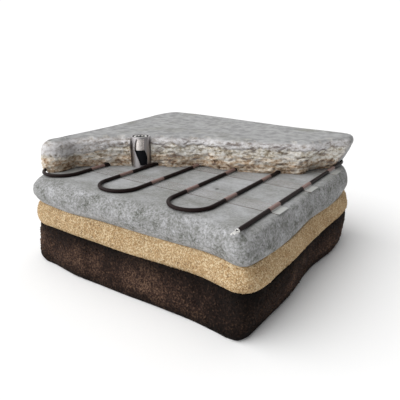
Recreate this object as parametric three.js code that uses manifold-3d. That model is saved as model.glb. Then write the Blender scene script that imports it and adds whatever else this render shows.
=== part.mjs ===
// Outdoor heating mat in a free-standing cutaway block of its build-up.
// A heating cable, taped at an even spacing by three film strips, lies on a concrete slab over a sand bed
// and a soil base. A broken-off paving slab covers the back of the mat and holds a round snow sensor.
// Millimetres, +Z up. The origin is the middle of the model's footprint, on the floor.

import * as THREE from 'three';
import Module from 'manifold-3d';
import { mergeVertices } from 'three/addons/utils/BufferGeometryUtils.js';

const wasm = await Module();
wasm.setup();

// Driving dimensions of the block
const BLOCK_WIDTH = 530;
const BLOCK_DEPTH = 520;
const SOIL_HEIGHT = 76;
const SAND_HEIGHT = 40;
const SLAB_HEIGHT = 50;
const PAVING_HEIGHT = 64;
const OUTLINE_STEPS = 96;

// Driving dimensions of the mat
const RUN_COUNT = 7;
const RUN_PITCH = 80;
const RUN_LENGTH = 374;
const CABLE_DIAMETER = 6.8;
const CABLE_SIDES = 10;
const TURN_STEPS = 11;
const TAIL_LENGTH = 60;
const MAT_SIDE_SHIFT = -8;
const MAT_SETBACK = 112;
const TURN_TO_TAPE = 34;
const TAPE_COUNT = 3;
const TAPE_PITCH = 129;
const TAPE_WIDTH = 35;
const TAPE_THICKNESS = 0.5;
const TAPE_OVERHANG = 17.5;
const TAPE_FOOT = 2.2;
const TAPE_ARC_STEPS = 8;
const CLEARANCE = 0.3;

// Stripped cable end
const SCREEN_DIAMETER = 7;
const SCREEN_WALL = 0.55;
const SCREEN_LENGTH = 3;
const CORE_LENGTH = 2;
const CONDUCTOR_DIAMETER = 2.4;
const CONDUCTOR_SPACING = 2.9;
const CONDUCTOR_LENGTHS = [14, 11];

// Round snow sensor
const SENSOR_DIAMETER = 39;
const SENSOR_WALL = 2.6;
const SENSOR_TO_CABLE = 1.1;
const SENSOR_SETBACK = 2;
const SENSOR_SIDES = 48;
const SENSOR_FACING = THREE.MathUtils.degToRad(42.7);
const SLEEVE_LENGTH = 25;
const SLEEVE_WALL = 2.4;
const SEAL_HEIGHT = 2.5;
const SPACER_HEIGHT = 3.4;
const CAP_DIAMETER = 19.8;
const CAP_HEIGHT = 3.8;
const CONTACT_DIAMETER = 4.4;
const CONTACT_HEIGHT = 0.4;
const CONTACT_SPACING = 7;
const WINDOW_SILL = 5.5;
const WINDOW_LINTEL = 3.5;

// Heights of the layer boundaries
const SAND_FLOOR = SOIL_HEIGHT;
const SLAB_FLOOR = SAND_FLOOR + SAND_HEIGHT;
const MAT_FLOOR = SLAB_FLOOR + SLAB_HEIGHT;
const PAVING_TOP = MAT_FLOOR + PAVING_HEIGHT;

// Outlines in plan, counter-clockwise from the front left, as shares of half the block's width and depth
const BLOCK_PLAN = [
  [-0.955, -0.72], [-0.9, -0.87], [-0.79, -0.945], [-0.64, -0.962], [-0.42, -0.978], [-0.2, -0.967],
  [0.1, -0.96], [0.4, -0.942], [0.64, -0.932], [0.79, -0.948], [0.885, -0.965], [0.94, -0.95],
  [0.968, -0.895], [0.98, -0.8], [0.985, -0.64], [0.985, -0.4], [0.968, -0.1], [0.972, 0.1],
  [0.985, 0.3], [0.985, 0.5], [0.955, 0.7], [0.88, 0.86], [0.74, 0.95], [0.3, 0.965],
  [-0.2, 0.98], [-0.7, 0.97], [-0.89, 0.9], [-0.965, 0.74], [-0.95, 0.25], [-0.96, -0.3],
];
const PAVING_FOOT_PLAN = [
  [-1.0, -0.72], [-0.95, -0.765], [-0.885, -0.78], [-0.81, -0.74], [-0.795, -0.68], [-0.812, -0.57],
  [-0.78, -0.52], [-0.68, -0.43], [-0.56, -0.315], [-0.465, -0.265], [-0.31, -0.135], [-0.2, -0.12],
  [-0.06, -0.02], [0.03, 0.04], [0.13, 0.035], [0.35, 0.11], [0.46, 0.15], [0.56, 0.195],
  [0.625, 0.25], [0.71, 0.28], [0.738, 0.33], [0.735, 0.41], [0.775, 0.5], [0.83, 0.57],
  [0.838, 0.68], [0.845, 0.86], [0.8, 0.955], [0.5, 0.985], [0.1, 0.975], [-0.35, 0.99],
  [-0.8, 0.985], [-0.97, 0.92], [-1.0, 0.7], [-0.99, 0.3], [-1.0, -0.2],
];
const PAVING_TOP_PLAN = [
  [-0.95, -0.69], [-0.93, -0.745], [-0.88, -0.765], [-0.82, -0.74], [-0.8, -0.68], [-0.805, -0.57],
  [-0.77, -0.52], [-0.67, -0.44], [-0.55, -0.32], [-0.45, -0.27], [-0.31, -0.15], [-0.19, -0.12],
  [-0.06, -0.03], [0.03, 0.02], [0.13, 0.03], [0.35, 0.1], [0.46, 0.145], [0.56, 0.19],
  [0.635, 0.24], [0.73, 0.27], [0.8, 0.32], [0.83, 0.41], [0.86, 0.5], [0.92, 0.6],
  [0.965, 0.72], [0.92, 0.85], [0.76, 0.89], [0.45, 0.9], [0.1, 0.93], [-0.35, 0.975],
  [-0.8, 1.0], [-1.0, 0.96], [-1.05, 0.78], [-1.01, 0.45], [-0.96, -0.1],
];

// Millimetres that one swell of a profile stands for
const EDGE_SWELL = 10;

// Upright profiles of the layers: share of the height, then swells outward at left, right, front and back
const SOIL_PROFILE = [
  [0, -0.8, -0.7, 0.9, -0.4], [0.06, -0.4, -0.4, 1.2, 0], [0.3, -0.1, 0, 0.9, 0.2],
  [0.65, 0.1, 0.4, 0.5, 0.2], [1, 0, 0.2, -0.1, -0.2],
];
const SAND_PROFILE = [
  [0, 0.3, 0.2, -0.2, -0.2], [0.2, 0.6, 0.5, 0.1, 0.1], [0.6, 0.6, 0.3, -0.1, 0], [1, 0.3, -0.4, -0.9, -0.6],
];
const SLAB_PROFILE = [
  [0, 0.4, -0.5, -1, -0.8], [0.1, 1.1, -0.1, -0.5, -0.3], [0.35, 1.7, 0.1, 0.1, 0.2],
  [0.6, 1.5, -0.2, 0, 0.1], [0.82, 0.8, -0.6, -0.8, -0.5], [0.93, 0, -0.8, -1.6, -1.1],
  [0.97, -0.6, -1, -2.2, -1.5], [1, -1.6, -1.7, -3, -2.2],
];
// Upright profile of the paving slab: share of the height, then swells outward
const PAVING_PROFILE = [[0, 0], [0.2, 0.3], [0.5, 0.4], [0.78, 0.2], [0.9, -0.3], [0.97, -0.8], [1, -1.5]];
const FACE_WAVE = 2.5;
const NORMAL_STEPS = 4;

// A closed body through stacked rings of equal length, with a flat cap at each end
function bodyThroughRings(rings) {
  const count = rings[0].length;
  const triangles = [];
  for (let level = 0; level < rings.length - 1; level += 1) {
    for (let i = 0; i < count; i += 1) {
      const a = level * count + i;
      const b = level * count + ((i + 1) % count);
      triangles.push(a, b, b + count, a, b + count, a + count);
    }
  }
  const flat = (ring) => ring.map((p) => new THREE.Vector2(p.x, p.y));
  for (const [a, b, c] of THREE.ShapeUtils.triangulateShape(flat(rings[0]), [])) {
    triangles.push(c, b, a);
  }
  const top = (rings.length - 1) * count;
  for (const [a, b, c] of THREE.ShapeUtils.triangulateShape(flat(rings.at(-1)), [])) {
    triangles.push(top + a, top + b, top + c);
  }
  const geometry = new THREE.BufferGeometry();
  const positions = rings.flat().flatMap((p) => [p.x, p.y, p.z]);
  geometry.setAttribute('position', new THREE.Float32BufferAttribute(positions, 3));
  geometry.setIndex(triangles);
  return geometry;
}

// Points evenly numbered along a smooth closed curve through a plan given in shares of the block
function planPoints(plan) {
  const corners = plan.map(([x, y]) => new THREE.Vector3(x * BLOCK_WIDTH / 2, y * BLOCK_DEPTH / 2, 0));
  const curve = new THREE.CatmullRomCurve3(corners, true, 'centripetal');
  return curve.getPoints(OUTLINE_STEPS).slice(0, -1);
}

// The plan moved outward along its own normals, and raised to a height
function ringAt(outline, height, outward, wavePhase) {
  const count = outline.length;
  return outline.map((point, i) => {
    const before = outline[(i + count - NORMAL_STEPS) % count];
    const after = outline[(i + NORMAL_STEPS) % count];
    const normal = new THREE.Vector3(after.y - before.y, before.x - after.x, 0).normalize();
    const wave = FACE_WAVE * Math.sin(wavePhase + i * 0.42) * Math.sin(1.7 * wavePhase + i * 0.13);
    return point.clone().addScaledVector(normal, outward + wave).setZ(height);
  });
}

// One layer of the block between two heights
function layerGeometry(floor, height, profile, phase) {
  const outline = planPoints(BLOCK_PLAN);
  const rings = profile.map(([share, left, right, front, back]) => {
    const stretched = outline.map(({ x, y }) => {
      const sideways = EDGE_SWELL * (x < 0 ? left : right);
      const lengthways = EDGE_SWELL * (y < 0 ? front : back);
      const wider = 1 + 2 * sideways / BLOCK_WIDTH;
      const deeper = 1 + 2 * lengthways / BLOCK_DEPTH;
      return new THREE.Vector3(x * wider, y * deeper, 0);
    });
    return ringAt(stretched, floor + share * height, 0, phase + share);
  });
  return bodyThroughRings(rings);
}

// A manifold solid from a closed geometry
function solidOf(geometry) {
  const bare = geometry.clone();
  bare.deleteAttribute('normal');
  bare.deleteAttribute('uv');
  const merged = mergeVertices(bare, 1e-4);
  return new wasm.Manifold(new wasm.Mesh({
    numProp: 3,
    vertProperties: merged.attributes.position.array,
    triVerts: new Uint32Array(merged.index.array),
  }));
}

// A geometry from a manifold solid
function geometryOf(solid) {
  const mesh = solid.getMesh();
  const geometry = new THREE.BufferGeometry();
  geometry.setAttribute('position', new THREE.Float32BufferAttribute(mesh.vertProperties, 3));
  geometry.setIndex(Array.from(mesh.triVerts));
  return geometry;
}

// Places of the mat on the block
const runX = (run) => MAT_SIDE_SHIFT + (run - (RUN_COUNT - 1) / 2) * RUN_PITCH;
const tapeFront = (tape) => -BLOCK_DEPTH / 2 + MAT_SETBACK + tape * TAPE_PITCH;
const FRONT_TURN_Y = tapeFront(0) - TURN_TO_TAPE;
const BACK_TURN_Y = FRONT_TURN_Y + RUN_LENGTH;
const CABLE_END_Y = FRONT_TURN_Y - TAIL_LENGTH;

// The cable's middle line: straight runs joined by half-circle turns at the front and back in turn
class MatRoute extends THREE.Curve {
  constructor(height) {
    super();
    this.height = height;
    this.stations = MatRoute.stations();
  }

  static stations() {
    const stations = [];
    for (let run = 0; run < RUN_COUNT; run += 1) {
      const towardFront = run % 2 === 0;
      const direction = towardFront ? -1 : 1;
      const endY = towardFront ? FRONT_TURN_Y : BACK_TURN_Y;
      if (run === 0) {
        stations.push({ x: runX(0), y: BACK_TURN_Y, angle: direction * Math.PI / 2 });
      }
      if (run === RUN_COUNT - 1) {
        stations.push({ x: runX(run), y: towardFront ? CABLE_END_Y : endY, angle: direction * Math.PI / 2 });
        break;
      }
      for (let step = 0; step <= TURN_STEPS; step += 1) {
        const turned = Math.PI * step / TURN_STEPS;
        stations.push({
          x: runX(run) + RUN_PITCH / 2 * (1 - Math.cos(turned)),
          y: endY + direction * RUN_PITCH / 2 * Math.sin(turned),
          angle: direction * (Math.PI / 2 - turned),
        });
      }
    }
    return stations;
  }

  get steps() {
    return this.stations.length - 1;
  }

  getUtoTmapping(u) {
    return u;
  }

  getPoint(t, target = new THREE.Vector3()) {
    const place = Math.min(Math.max(t, 0), 1) * this.steps;
    const first = Math.min(Math.floor(place), this.steps - 1);
    const share = place - first;
    const a = this.stations[first];
    const b = this.stations[first + 1];
    return target.set(a.x + (b.x - a.x) * share, a.y + (b.y - a.y) * share, this.height);
  }

  getTangent(t, target = new THREE.Vector3()) {
    const station = this.stations[Math.round(Math.min(Math.max(t, 0), 1) * this.steps)];
    return target.set(Math.cos(station.angle), Math.sin(station.angle), 0);
  }
}

// A section swept along the mat's route, its own X pointing down and its Y to the side
function sweepAlongMat(section, height) {
  const route = new MatRoute(height);
  return new THREE.ExtrudeGeometry(section, { steps: route.steps, extrudePath: route });
}

const cableRadius = CABLE_DIAMETER / 2;
const cableAxis = MAT_FLOOR + CLEARANCE + cableRadius;

function cableGeometry() {
  const circle = [];
  for (let i = 0; i < CABLE_SIDES; i += 1) {
    const angle = 2 * Math.PI * i / CABLE_SIDES;
    circle.push(new THREE.Vector2(cableRadius * Math.cos(angle), cableRadius * Math.sin(angle)));
  }
  return sweepAlongMat(new THREE.Shape(circle), cableAxis);
}

// Round bar along Y, from one place toward the front
function barTowardFront(diameter, length, x, fromY, z) {
  const bar = new THREE.CylinderGeometry(diameter / 2, diameter / 2, length, 16);
  return bar.translate(x, fromY - length / 2, z);
}

// One side of a tape's profile: flat stretches joined by a tent over each cable
const tapeInnerRadius = cableRadius + CLEARANCE;
const tapeOuterRadius = tapeInnerRadius + TAPE_THICKNESS;
const tentHalfWidth = tapeOuterRadius + TAPE_FOOT;

function tapeLine(radius, level) {
  const points = [];
  const axis = CLEARANCE + cableRadius;
  const slope = Math.atan2(level - axis, -tentHalfWidth);
  const reach = Math.hypot(tentHalfWidth, axis - level);
  const start = slope - Math.acos(radius / reach);
  const end = Math.PI - start;
  for (let run = 0; run < RUN_COUNT; run += 1) {
    points.push([runX(run) - tentHalfWidth, level]);
    for (let step = 0; step <= TAPE_ARC_STEPS; step += 1) {
      const first = start < 0 ? start + 2 * Math.PI : start;
      const last = end > Math.PI ? end - 2 * Math.PI : end;
      const angle = first + (last - first) * step / TAPE_ARC_STEPS;
      points.push([runX(run) + radius * Math.cos(angle), axis + radius * Math.sin(angle)]);
    }
    points.push([runX(run) + tentHalfWidth, level]);
  }
  return points;
}

function tapeGeometry(tape) {
  const left = runX(0) - TAPE_OVERHANG;
  const right = runX(RUN_COUNT - 1) + TAPE_OVERHANG;
  const under = [[left, 0], ...tapeLine(tapeInnerRadius, 0), [right, 0]];
  const overCables = tapeLine(tapeOuterRadius, TAPE_THICKNESS);
  const over = [[left, TAPE_THICKNESS], ...overCables, [right, TAPE_THICKNESS]];
  const outline = [...under, ...over.reverse()].map(([x, y]) => new THREE.Vector2(x, y));
  const extrusion = { depth: TAPE_WIDTH, bevelEnabled: false };
  const strip = new THREE.ExtrudeGeometry(new THREE.Shape(outline), extrusion);
  return strip.rotateX(Math.PI / 2).translate(0, tapeFront(tape) + TAPE_WIDTH, MAT_FLOOR);
}

// A turned body around the vertical, from [radius, height] points
function turned(profile) {
  const points = profile.map(([radius, height]) => new THREE.Vector2(radius, height));
  return new THREE.LatheGeometry(points, SENSOR_SIDES).rotateX(Math.PI / 2);
}

function ringProfile(inner, outer, bottom, top) {
  return [[inner, bottom], [outer, bottom], [outer, top], [inner, top], [inner, bottom]];
}

function discProfile(radius, bottom, top) {
  return [[0, bottom], [radius, bottom], [radius, top], [0, top]];
}

// The front edge of the paving slab's foot at one place across the block
const pavingFoot = planPoints(PAVING_FOOT_PLAN);

function pavingFrontAt(x) {
  const crossings = pavingFoot.flatMap((a, i) => {
    const b = pavingFoot[(i + 1) % pavingFoot.length];
    const spans = (a.x - x) * (b.x - x) <= 0 && a.x !== b.x;
    return spans ? [a.y + (b.y - a.y) * (x - a.x) / (b.x - a.x)] : [];
  });
  return Math.min(...crossings);
}

const sensorRadius = SENSOR_DIAMETER / 2;
const sensorX = runX(2) - cableRadius - SENSOR_TO_CABLE - sensorRadius;
const sensorY = pavingFrontAt(sensorX) + SENSOR_SETBACK;
const coreRadius = sensorRadius - SENSOR_WALL - CLEARANCE;
const neckRadius = coreRadius - SLEEVE_WALL - CLEARANCE;
const capRadius = CAP_DIAMETER / 2;
const sleeveTop = PAVING_HEIGHT - SEAL_HEIGHT;
const sleeveFoot = sleeveTop - SLEEVE_LENGTH;
const coreTop = PAVING_HEIGHT - CAP_HEIGHT;

// The wavy-edged window in the housing's front, seen square on: [side, height] in millimetres
function windowCutter() {
  const top = PAVING_HEIGHT - WINDOW_LINTEL;
  const rise = top - WINDOW_SILL;
  const left = [[-0.47, 1], [-0.66, 0.7], [-0.68, 0.6], [-0.57, 0.45], [-0.28, 0.16], [-0.14, 0]];
  const right = [[0.56, 0], [0.62, 0.28], [0.5, 0.46], [0.38, 0.6], [0.36, 0.8], [0.41, 1]];
  const outline = [...left, ...right].map(([side, share]) => (
    new THREE.Vector2(side * sensorRadius, WINDOW_SILL + share * rise)
  ));
  const extrusion = { depth: 2 * sensorRadius, bevelEnabled: false };
  const cutter = new THREE.ExtrudeGeometry(new THREE.Shape(outline), extrusion);
  return cutter.rotateX(Math.PI / 2).rotateZ(SENSOR_FACING);
}

function sensorHousingGeometry() {
  const tube = turned(ringProfile(sensorRadius - SENSOR_WALL, sensorRadius, 0, PAVING_HEIGHT));
  return geometryOf(solidOf(tube).subtract(solidOf(windowCutter())));
}

function sensorCoreGeometry() {
  return turned([[0, 0], [coreRadius, 0], [coreRadius, sleeveFoot], [neckRadius, sleeveFoot],
    [neckRadius, coreTop], [0, coreTop]]);
}

// The paving slab, with channels for the cable and tapes under it and a hole for the sensor
function pavingGeometry() {
  const top = planPoints(PAVING_TOP_PLAN);
  const outlineAt = (share) => pavingFoot.map((p, i) => p.clone().lerp(top[i], share));
  const rings = PAVING_PROFILE.map(([share, outward]) => (
    ringAt(outlineAt(share), MAT_FLOOR + share * PAVING_HEIGHT, EDGE_SWELL * outward, share)
  ));
  let slab = solidOf(bodyThroughRings(rings));

  const channelHeight = 2 * cableRadius + 3 * CLEARANCE + TAPE_THICKNESS;
  const channelHalfWidth = tentHalfWidth + CLEARANCE;
  const section = new THREE.Shape([
    new THREE.Vector2(CLEARANCE, -channelHalfWidth),
    new THREE.Vector2(CLEARANCE, channelHalfWidth),
    new THREE.Vector2(-channelHeight, channelHalfWidth),
    new THREE.Vector2(-channelHeight, -channelHalfWidth),
  ]);
  slab = slab.subtract(solidOf(sweepAlongMat(section, MAT_FLOOR)));

  const slotHeight = TAPE_THICKNESS + CLEARANCE;
  const slotLength = (RUN_COUNT - 1) * RUN_PITCH + 2 * (TAPE_OVERHANG + CLEARANCE);
  for (let tape = 0; tape < TAPE_COUNT; tape += 1) {
    const slot = new THREE.BoxGeometry(slotLength, TAPE_WIDTH + 2 * CLEARANCE, 2 * slotHeight);
    slot.translate(MAT_SIDE_SHIFT, tapeFront(tape) + TAPE_WIDTH / 2, MAT_FLOOR);
    slab = slab.subtract(solidOf(slot));
  }

  const overrun = 5;
  const hole = turned(discProfile(sensorRadius + CLEARANCE, -overrun, PAVING_HEIGHT + overrun));
  hole.translate(sensorX, sensorY, MAT_FLOOR);
  return geometryOf(slab.subtract(solidOf(hole)));
}

// Finishes
const finish = (color, roughness, metalness = 0) => (
  () => new THREE.MeshStandardMaterial({ color, roughness, metalness })
);
const soil = finish(0x3a2519, 0.95);
const sand = finish(0xc9a36b, 0.95);
const concrete = finish(0x9b9c9c, 0.8);
const pavingStone = finish(0xa6a6a2, 0.75);
const cableJacket = finish(0x1b1a1c, 0.55);
const tapeFilm = finish(0x8c7c78, 0.35);
const brightMetal = finish(0xc9cacb, 0.25, 1);
const blackPlastic = finish(0x17181a, 0.5);
const paleInsulator = finish(0xd8d8d4, 0.5);

const block = new THREE.Group();

function addPiece(name, geometry, material, position = [0, 0, 0]) {
  const mesh = new THREE.Mesh(geometry, material());
  mesh.name = name;
  mesh.position.set(...position);
  block.add(mesh);
}

addPiece('soil_base', layerGeometry(0, SOIL_HEIGHT, SOIL_PROFILE, 0.4), soil);
addPiece('sand_bed', layerGeometry(SAND_FLOOR, SAND_HEIGHT, SAND_PROFILE, 2.1), sand);
addPiece('concrete_slab', layerGeometry(SLAB_FLOOR, SLAB_HEIGHT, SLAB_PROFILE, 3.6), concrete);
addPiece('paving_slab', pavingGeometry(), pavingStone);

addPiece('heating_cable', cableGeometry(), cableJacket);
const tailX = runX(RUN_COUNT - 1);
const screenInner = SCREEN_DIAMETER / 2 - SCREEN_WALL;
const screen = turned(ringProfile(screenInner, SCREEN_DIAMETER / 2, 0, SCREEN_LENGTH)).rotateX(Math.PI / 2);
addPiece('cable_screen', screen, brightMetal, [tailX, CABLE_END_Y, cableAxis]);
const core = barTowardFront(2 * (screenInner - CLEARANCE), CORE_LENGTH, tailX, CABLE_END_Y, cableAxis);
addPiece('cable_core', core, blackPlastic);
CONDUCTOR_LENGTHS.forEach((length, i) => {
  const x = tailX + (i - 0.5) * CONDUCTOR_SPACING;
  const conductor = barTowardFront(CONDUCTOR_DIAMETER, length, x, CABLE_END_Y - CORE_LENGTH, cableAxis);
  addPiece(`conductor_${i + 1}`, conductor, brightMetal);
});
for (let tape = 0; tape < TAPE_COUNT; tape += 1) {
  addPiece(`tape_strip_${tape + 1}`, tapeGeometry(tape), tapeFilm);
}

const sensorFoot = [sensorX, sensorY, MAT_FLOOR];
addPiece('sensor_housing', sensorHousingGeometry(), brightMetal, sensorFoot);
addPiece('sensor_core', sensorCoreGeometry(), blackPlastic, sensorFoot);
addPiece('sensor_sleeve', turned(ringProfile(neckRadius + CLEARANCE, coreRadius, sleeveFoot, sleeveTop)),
  brightMetal, sensorFoot);
addPiece('sensor_seal', turned(ringProfile(neckRadius + CLEARANCE, coreRadius, sleeveTop, PAVING_HEIGHT)),
  blackPlastic, sensorFoot);
const spacerProfile = ringProfile(capRadius + CLEARANCE, neckRadius, coreTop, coreTop + SPACER_HEIGHT);
addPiece('sensor_spacer', turned(spacerProfile), paleInsulator, sensorFoot);
const capProfile = discProfile(capRadius, coreTop, coreTop + CAP_HEIGHT);
addPiece('sensor_cap', turned(capProfile), blackPlastic, sensorFoot);
[-1, 1].forEach((side, i) => {
  const offset = side * CONTACT_SPACING / 2;
  const top = coreTop + CAP_HEIGHT;
  const contact = turned(discProfile(CONTACT_DIAMETER / 2, top, top + CONTACT_HEIGHT));
  const contactX = sensorX + offset * Math.cos(SENSOR_FACING);
  const contactY = sensorY + offset * Math.sin(SENSOR_FACING);
  addPiece(`sensor_contact_${i + 1}`, contact, brightMetal, [contactX, contactY, MAT_FLOOR]);
});

// The whole model stands on its footprint's middle
const box = new THREE.Box3().setFromObject(block);
const middle = box.getCenter(new THREE.Vector3());
block.position.set(-middle.x, -middle.y, -box.min.z);

export default block;
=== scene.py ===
"""Dresses the outdoor heating mat's sample block: ground layers, taped cable, snow sensor and paving."""

import logging
import math
from collections.abc import Callable
from dataclasses import dataclass, field
from enum import Enum
from functools import partial

import bpy
import numpy as np
from mathutils import Matrix, Vector, noise

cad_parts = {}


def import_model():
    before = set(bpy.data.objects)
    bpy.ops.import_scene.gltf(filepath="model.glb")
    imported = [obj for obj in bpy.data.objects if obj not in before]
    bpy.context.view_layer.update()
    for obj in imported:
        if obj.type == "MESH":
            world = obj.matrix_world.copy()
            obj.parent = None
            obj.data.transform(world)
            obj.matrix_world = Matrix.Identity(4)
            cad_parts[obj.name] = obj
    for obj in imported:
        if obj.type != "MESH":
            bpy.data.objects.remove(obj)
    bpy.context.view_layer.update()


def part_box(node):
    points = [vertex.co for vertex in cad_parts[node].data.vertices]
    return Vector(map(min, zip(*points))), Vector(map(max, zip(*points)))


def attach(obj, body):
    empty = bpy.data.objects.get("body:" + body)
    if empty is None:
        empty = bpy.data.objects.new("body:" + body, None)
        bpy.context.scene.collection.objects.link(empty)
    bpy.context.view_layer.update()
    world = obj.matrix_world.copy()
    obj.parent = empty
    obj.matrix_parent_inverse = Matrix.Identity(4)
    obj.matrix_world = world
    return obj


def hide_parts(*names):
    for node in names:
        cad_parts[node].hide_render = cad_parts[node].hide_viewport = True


LOG = logging.getLogger("heating_mat")
MM = 0.001
# What adds a node to one tree
AddNode = Callable[..., bpy.types.Node]
# Settings of a node that mixes two colours, and of one that multiplies them
BLENDED = {"data_type": "RGBA"}
MULTIPLIED = {**BLENDED, "blend_type": "MULTIPLY"}

# Outlines in plan, counter-clockwise from the front left, as shares of half the block's width and depth
BLOCK_PLAN = (
    (-0.955, -0.72), (-0.9, -0.87), (-0.79, -0.945), (-0.64, -0.962), (-0.42, -0.978), (-0.2, -0.967),
    (0.1, -0.96), (0.4, -0.942), (0.64, -0.932), (0.79, -0.948), (0.885, -0.965), (0.94, -0.95),
    (0.968, -0.895), (0.98, -0.8), (0.985, -0.64), (0.985, -0.4), (0.968, -0.1), (0.972, 0.1),
    (0.985, 0.3), (0.985, 0.5), (0.955, 0.7), (0.88, 0.86), (0.74, 0.95), (0.3, 0.965),
    (-0.2, 0.98), (-0.7, 0.97), (-0.89, 0.9), (-0.965, 0.74), (-0.95, 0.25), (-0.96, -0.3),
)
PAVING_FOOT_PLAN = (
    (-1.0, -0.72), (-0.95, -0.765), (-0.885, -0.78), (-0.81, -0.74), (-0.795, -0.68), (-0.812, -0.57),
    (-0.78, -0.52), (-0.68, -0.43), (-0.56, -0.315), (-0.465, -0.265), (-0.31, -0.135), (-0.2, -0.12),
    (-0.06, -0.02), (0.03, 0.04), (0.13, 0.035), (0.35, 0.11), (0.46, 0.15), (0.56, 0.195),
    (0.625, 0.25), (0.71, 0.28), (0.738, 0.33), (0.735, 0.41), (0.775, 0.5), (0.83, 0.57),
    (0.838, 0.68), (0.845, 0.86), (0.8, 0.955), (0.5, 0.985), (0.1, 0.975), (-0.35, 0.99),
    (-0.8, 0.985), (-0.97, 0.92), (-1.0, 0.7), (-0.99, 0.3), (-1.0, -0.2),
)
PAVING_TOP_PLAN = (
    (-0.95, -0.69), (-0.93, -0.745), (-0.88, -0.765), (-0.82, -0.74), (-0.8, -0.68), (-0.805, -0.57),
    (-0.77, -0.52), (-0.67, -0.44), (-0.55, -0.32), (-0.45, -0.27), (-0.31, -0.15), (-0.19, -0.12),
    (-0.06, -0.03), (0.03, 0.02), (0.13, 0.03), (0.35, 0.1), (0.46, 0.145), (0.56, 0.19),
    (0.635, 0.24), (0.73, 0.27), (0.8, 0.32), (0.83, 0.41), (0.86, 0.5), (0.92, 0.6),
    (0.965, 0.72), (0.92, 0.85), (0.76, 0.89), (0.45, 0.9), (0.1, 0.93), (-0.35, 0.975),
    (-0.8, 1.0), (-1.0, 0.96), (-1.05, 0.78), (-1.01, 0.45), (-0.96, -0.1),
)
# Upright profiles of the layers: share of the height, then millimetres outward at left, right, front and back
SOIL_PROFILE = (
    (0, -8, -7, 9, -4), (0.06, -4, -4, 12, 0), (0.3, -1, 0, 9, 2), (0.65, 1, 4, 5, 2), (1, 0, 2, -1, -2),
)
SAND_PROFILE = ((0, 3, 2, -2, -2), (0.2, 6, 5, 1, 1), (0.6, 6, 3, -1, 0), (1, 3, -4, -9, -6))
SLAB_PROFILE = (
    (0, 4, -5, -10, -8), (0.1, 11, -1, -5, -3), (0.35, 17, 1, 1, 2), (0.6, 15, -2, 0, 1),
    (0.82, 8, -6, -8, -5), (0.93, 0, -8, -16, -11), (0.97, -6, -10, -22, -15), (1, -16, -17, -30, -22),
)
# Upright profile of the paving slab: share of the height, then millimetres outward
PAVING_PROFILE = ((0, 0), (0.2, 3), (0.5, 4), (0.78, 2), (0.9, -3), (0.97, -8), (1, -15))
# Place along the paving's outline, in its own points, where the broken edge begins and ends
BROKEN_FROM = -0.6
BROKEN_TO = 24.1


def linear(hex_colour: str) -> tuple[float, float, float, float]:
    """Turn an sRGB hex colour into the linear values that a shader takes.

    Args:
        hex_colour: Six hex digits, without a hash sign.

    Returns:
        Red, green and blue, all linear, and an alpha of 1.
    """
    channels = []
    for start in (0, 2, 4):
        value = int(hex_colour[start:start + 2], 16) / 255
        channels.append(value / 12.92 if value <= 0.04045 else ((value + 0.055) / 1.055) ** 2.4)
    return (*channels, 1.0)


def usable(sockets: bpy.types.NodeInputs, key: str | int | None = None) -> bpy.types.NodeSocket:
    """Pick a socket by its number, or the first one in use, of one name or of any.

    Args:
        sockets: A node's inputs or outputs.
        key: The number or name, or nothing for the first one in use.

    Returns:
        The socket.
    """
    if isinstance(key, int):
        return sockets[key]
    return next(socket for socket in sockets if socket.enabled and key in (None, socket.name))


def add_node(tree: bpy.types.NodeTree, kind: str, inputs: dict | None = None,
             **settings: object) -> bpy.types.Node:
    """Add a node with its settings and links.

    Args:
        tree: The node tree that gets the node.
        kind: The node's type name.
        inputs: Values and links by the input's name or number. A node stands for its first output in use.
        settings: Properties by name, and a ramp's stops as pairs of place and hex colour.

    Returns:
        The new node.
    """
    node = tree.nodes.new(kind)
    stops = settings.pop("stops", ())
    for name, value in settings.items():
        setattr(node, name, value)
    for _ in stops[2:]:
        node.color_ramp.elements.new(0.5)
    if stops:
        for element, (position, colour) in zip(node.color_ramp.elements, stops):
            element.position = position
            element.color = linear(colour)
    for key, value in (inputs or {}).items():
        socket = usable(node.inputs, key)
        if isinstance(value, bpy.types.Node):
            value = usable(value.outputs)
        if isinstance(value, bpy.types.NodeSocket):
            tree.links.new(value, socket)
        else:
            socket.default_value = value
    return node


def smooth_plan(plan: tuple, count: int, width: float, depth: float) -> np.ndarray:
    """Sample the closed centripetal Catmull-Rom curve through a plan.

    Args:
        plan: Points as shares of half the width and depth.
        count: How many samples the whole curve gets.
        width: Block width in millimetres.
        depth: Block depth in millimetres.

    Returns:
        Samples in millimetres, one row of x and y each.
    """
    corners = np.array(plan) * (width / 2, depth / 2)
    place = np.arange(count) / count * len(plan)
    first = place.astype(int)
    share = place - first
    p0, p1, p2, p3 = (corners[(first + step) % len(plan)] for step in (-1, 0, 1, 2))
    t1 = np.sqrt(np.linalg.norm(p1 - p0, axis=1))
    t2 = t1 + np.sqrt(np.linalg.norm(p2 - p1, axis=1))
    t3 = t2 + np.sqrt(np.linalg.norm(p3 - p2, axis=1))
    t0 = np.zeros(count)
    t = t1 + (t2 - t1) * share

    def blend(a: np.ndarray, b: np.ndarray, start: np.ndarray, end: np.ndarray) -> np.ndarray:
        """Mix two rows of points by where t lies between two knots."""
        return a + (b - a) * ((t - start) / (end - start))[:, None]

    a1, a2, a3 = blend(p0, p1, t0, t1), blend(p1, p2, t1, t2), blend(p2, p3, t2, t3)
    return blend(blend(a1, a2, t0, t2), blend(a2, a3, t1, t3), t1, t2)


def plan_normals(outline: np.ndarray) -> np.ndarray:
    """Give outward normals of a closed outline, smoothed over a twelfth of its samples.

    Args:
        outline: Rows of x and y, counter-clockwise.

    Returns:
        One unit row for each sample.
    """
    reach = round(len(outline) / 24)
    along = np.roll(outline, -reach, axis=0) - np.roll(outline, reach, axis=0)
    normals = np.stack([along[:, 1], -along[:, 0]], axis=1)
    return normals / np.linalg.norm(normals, axis=1)[:, None]


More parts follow.
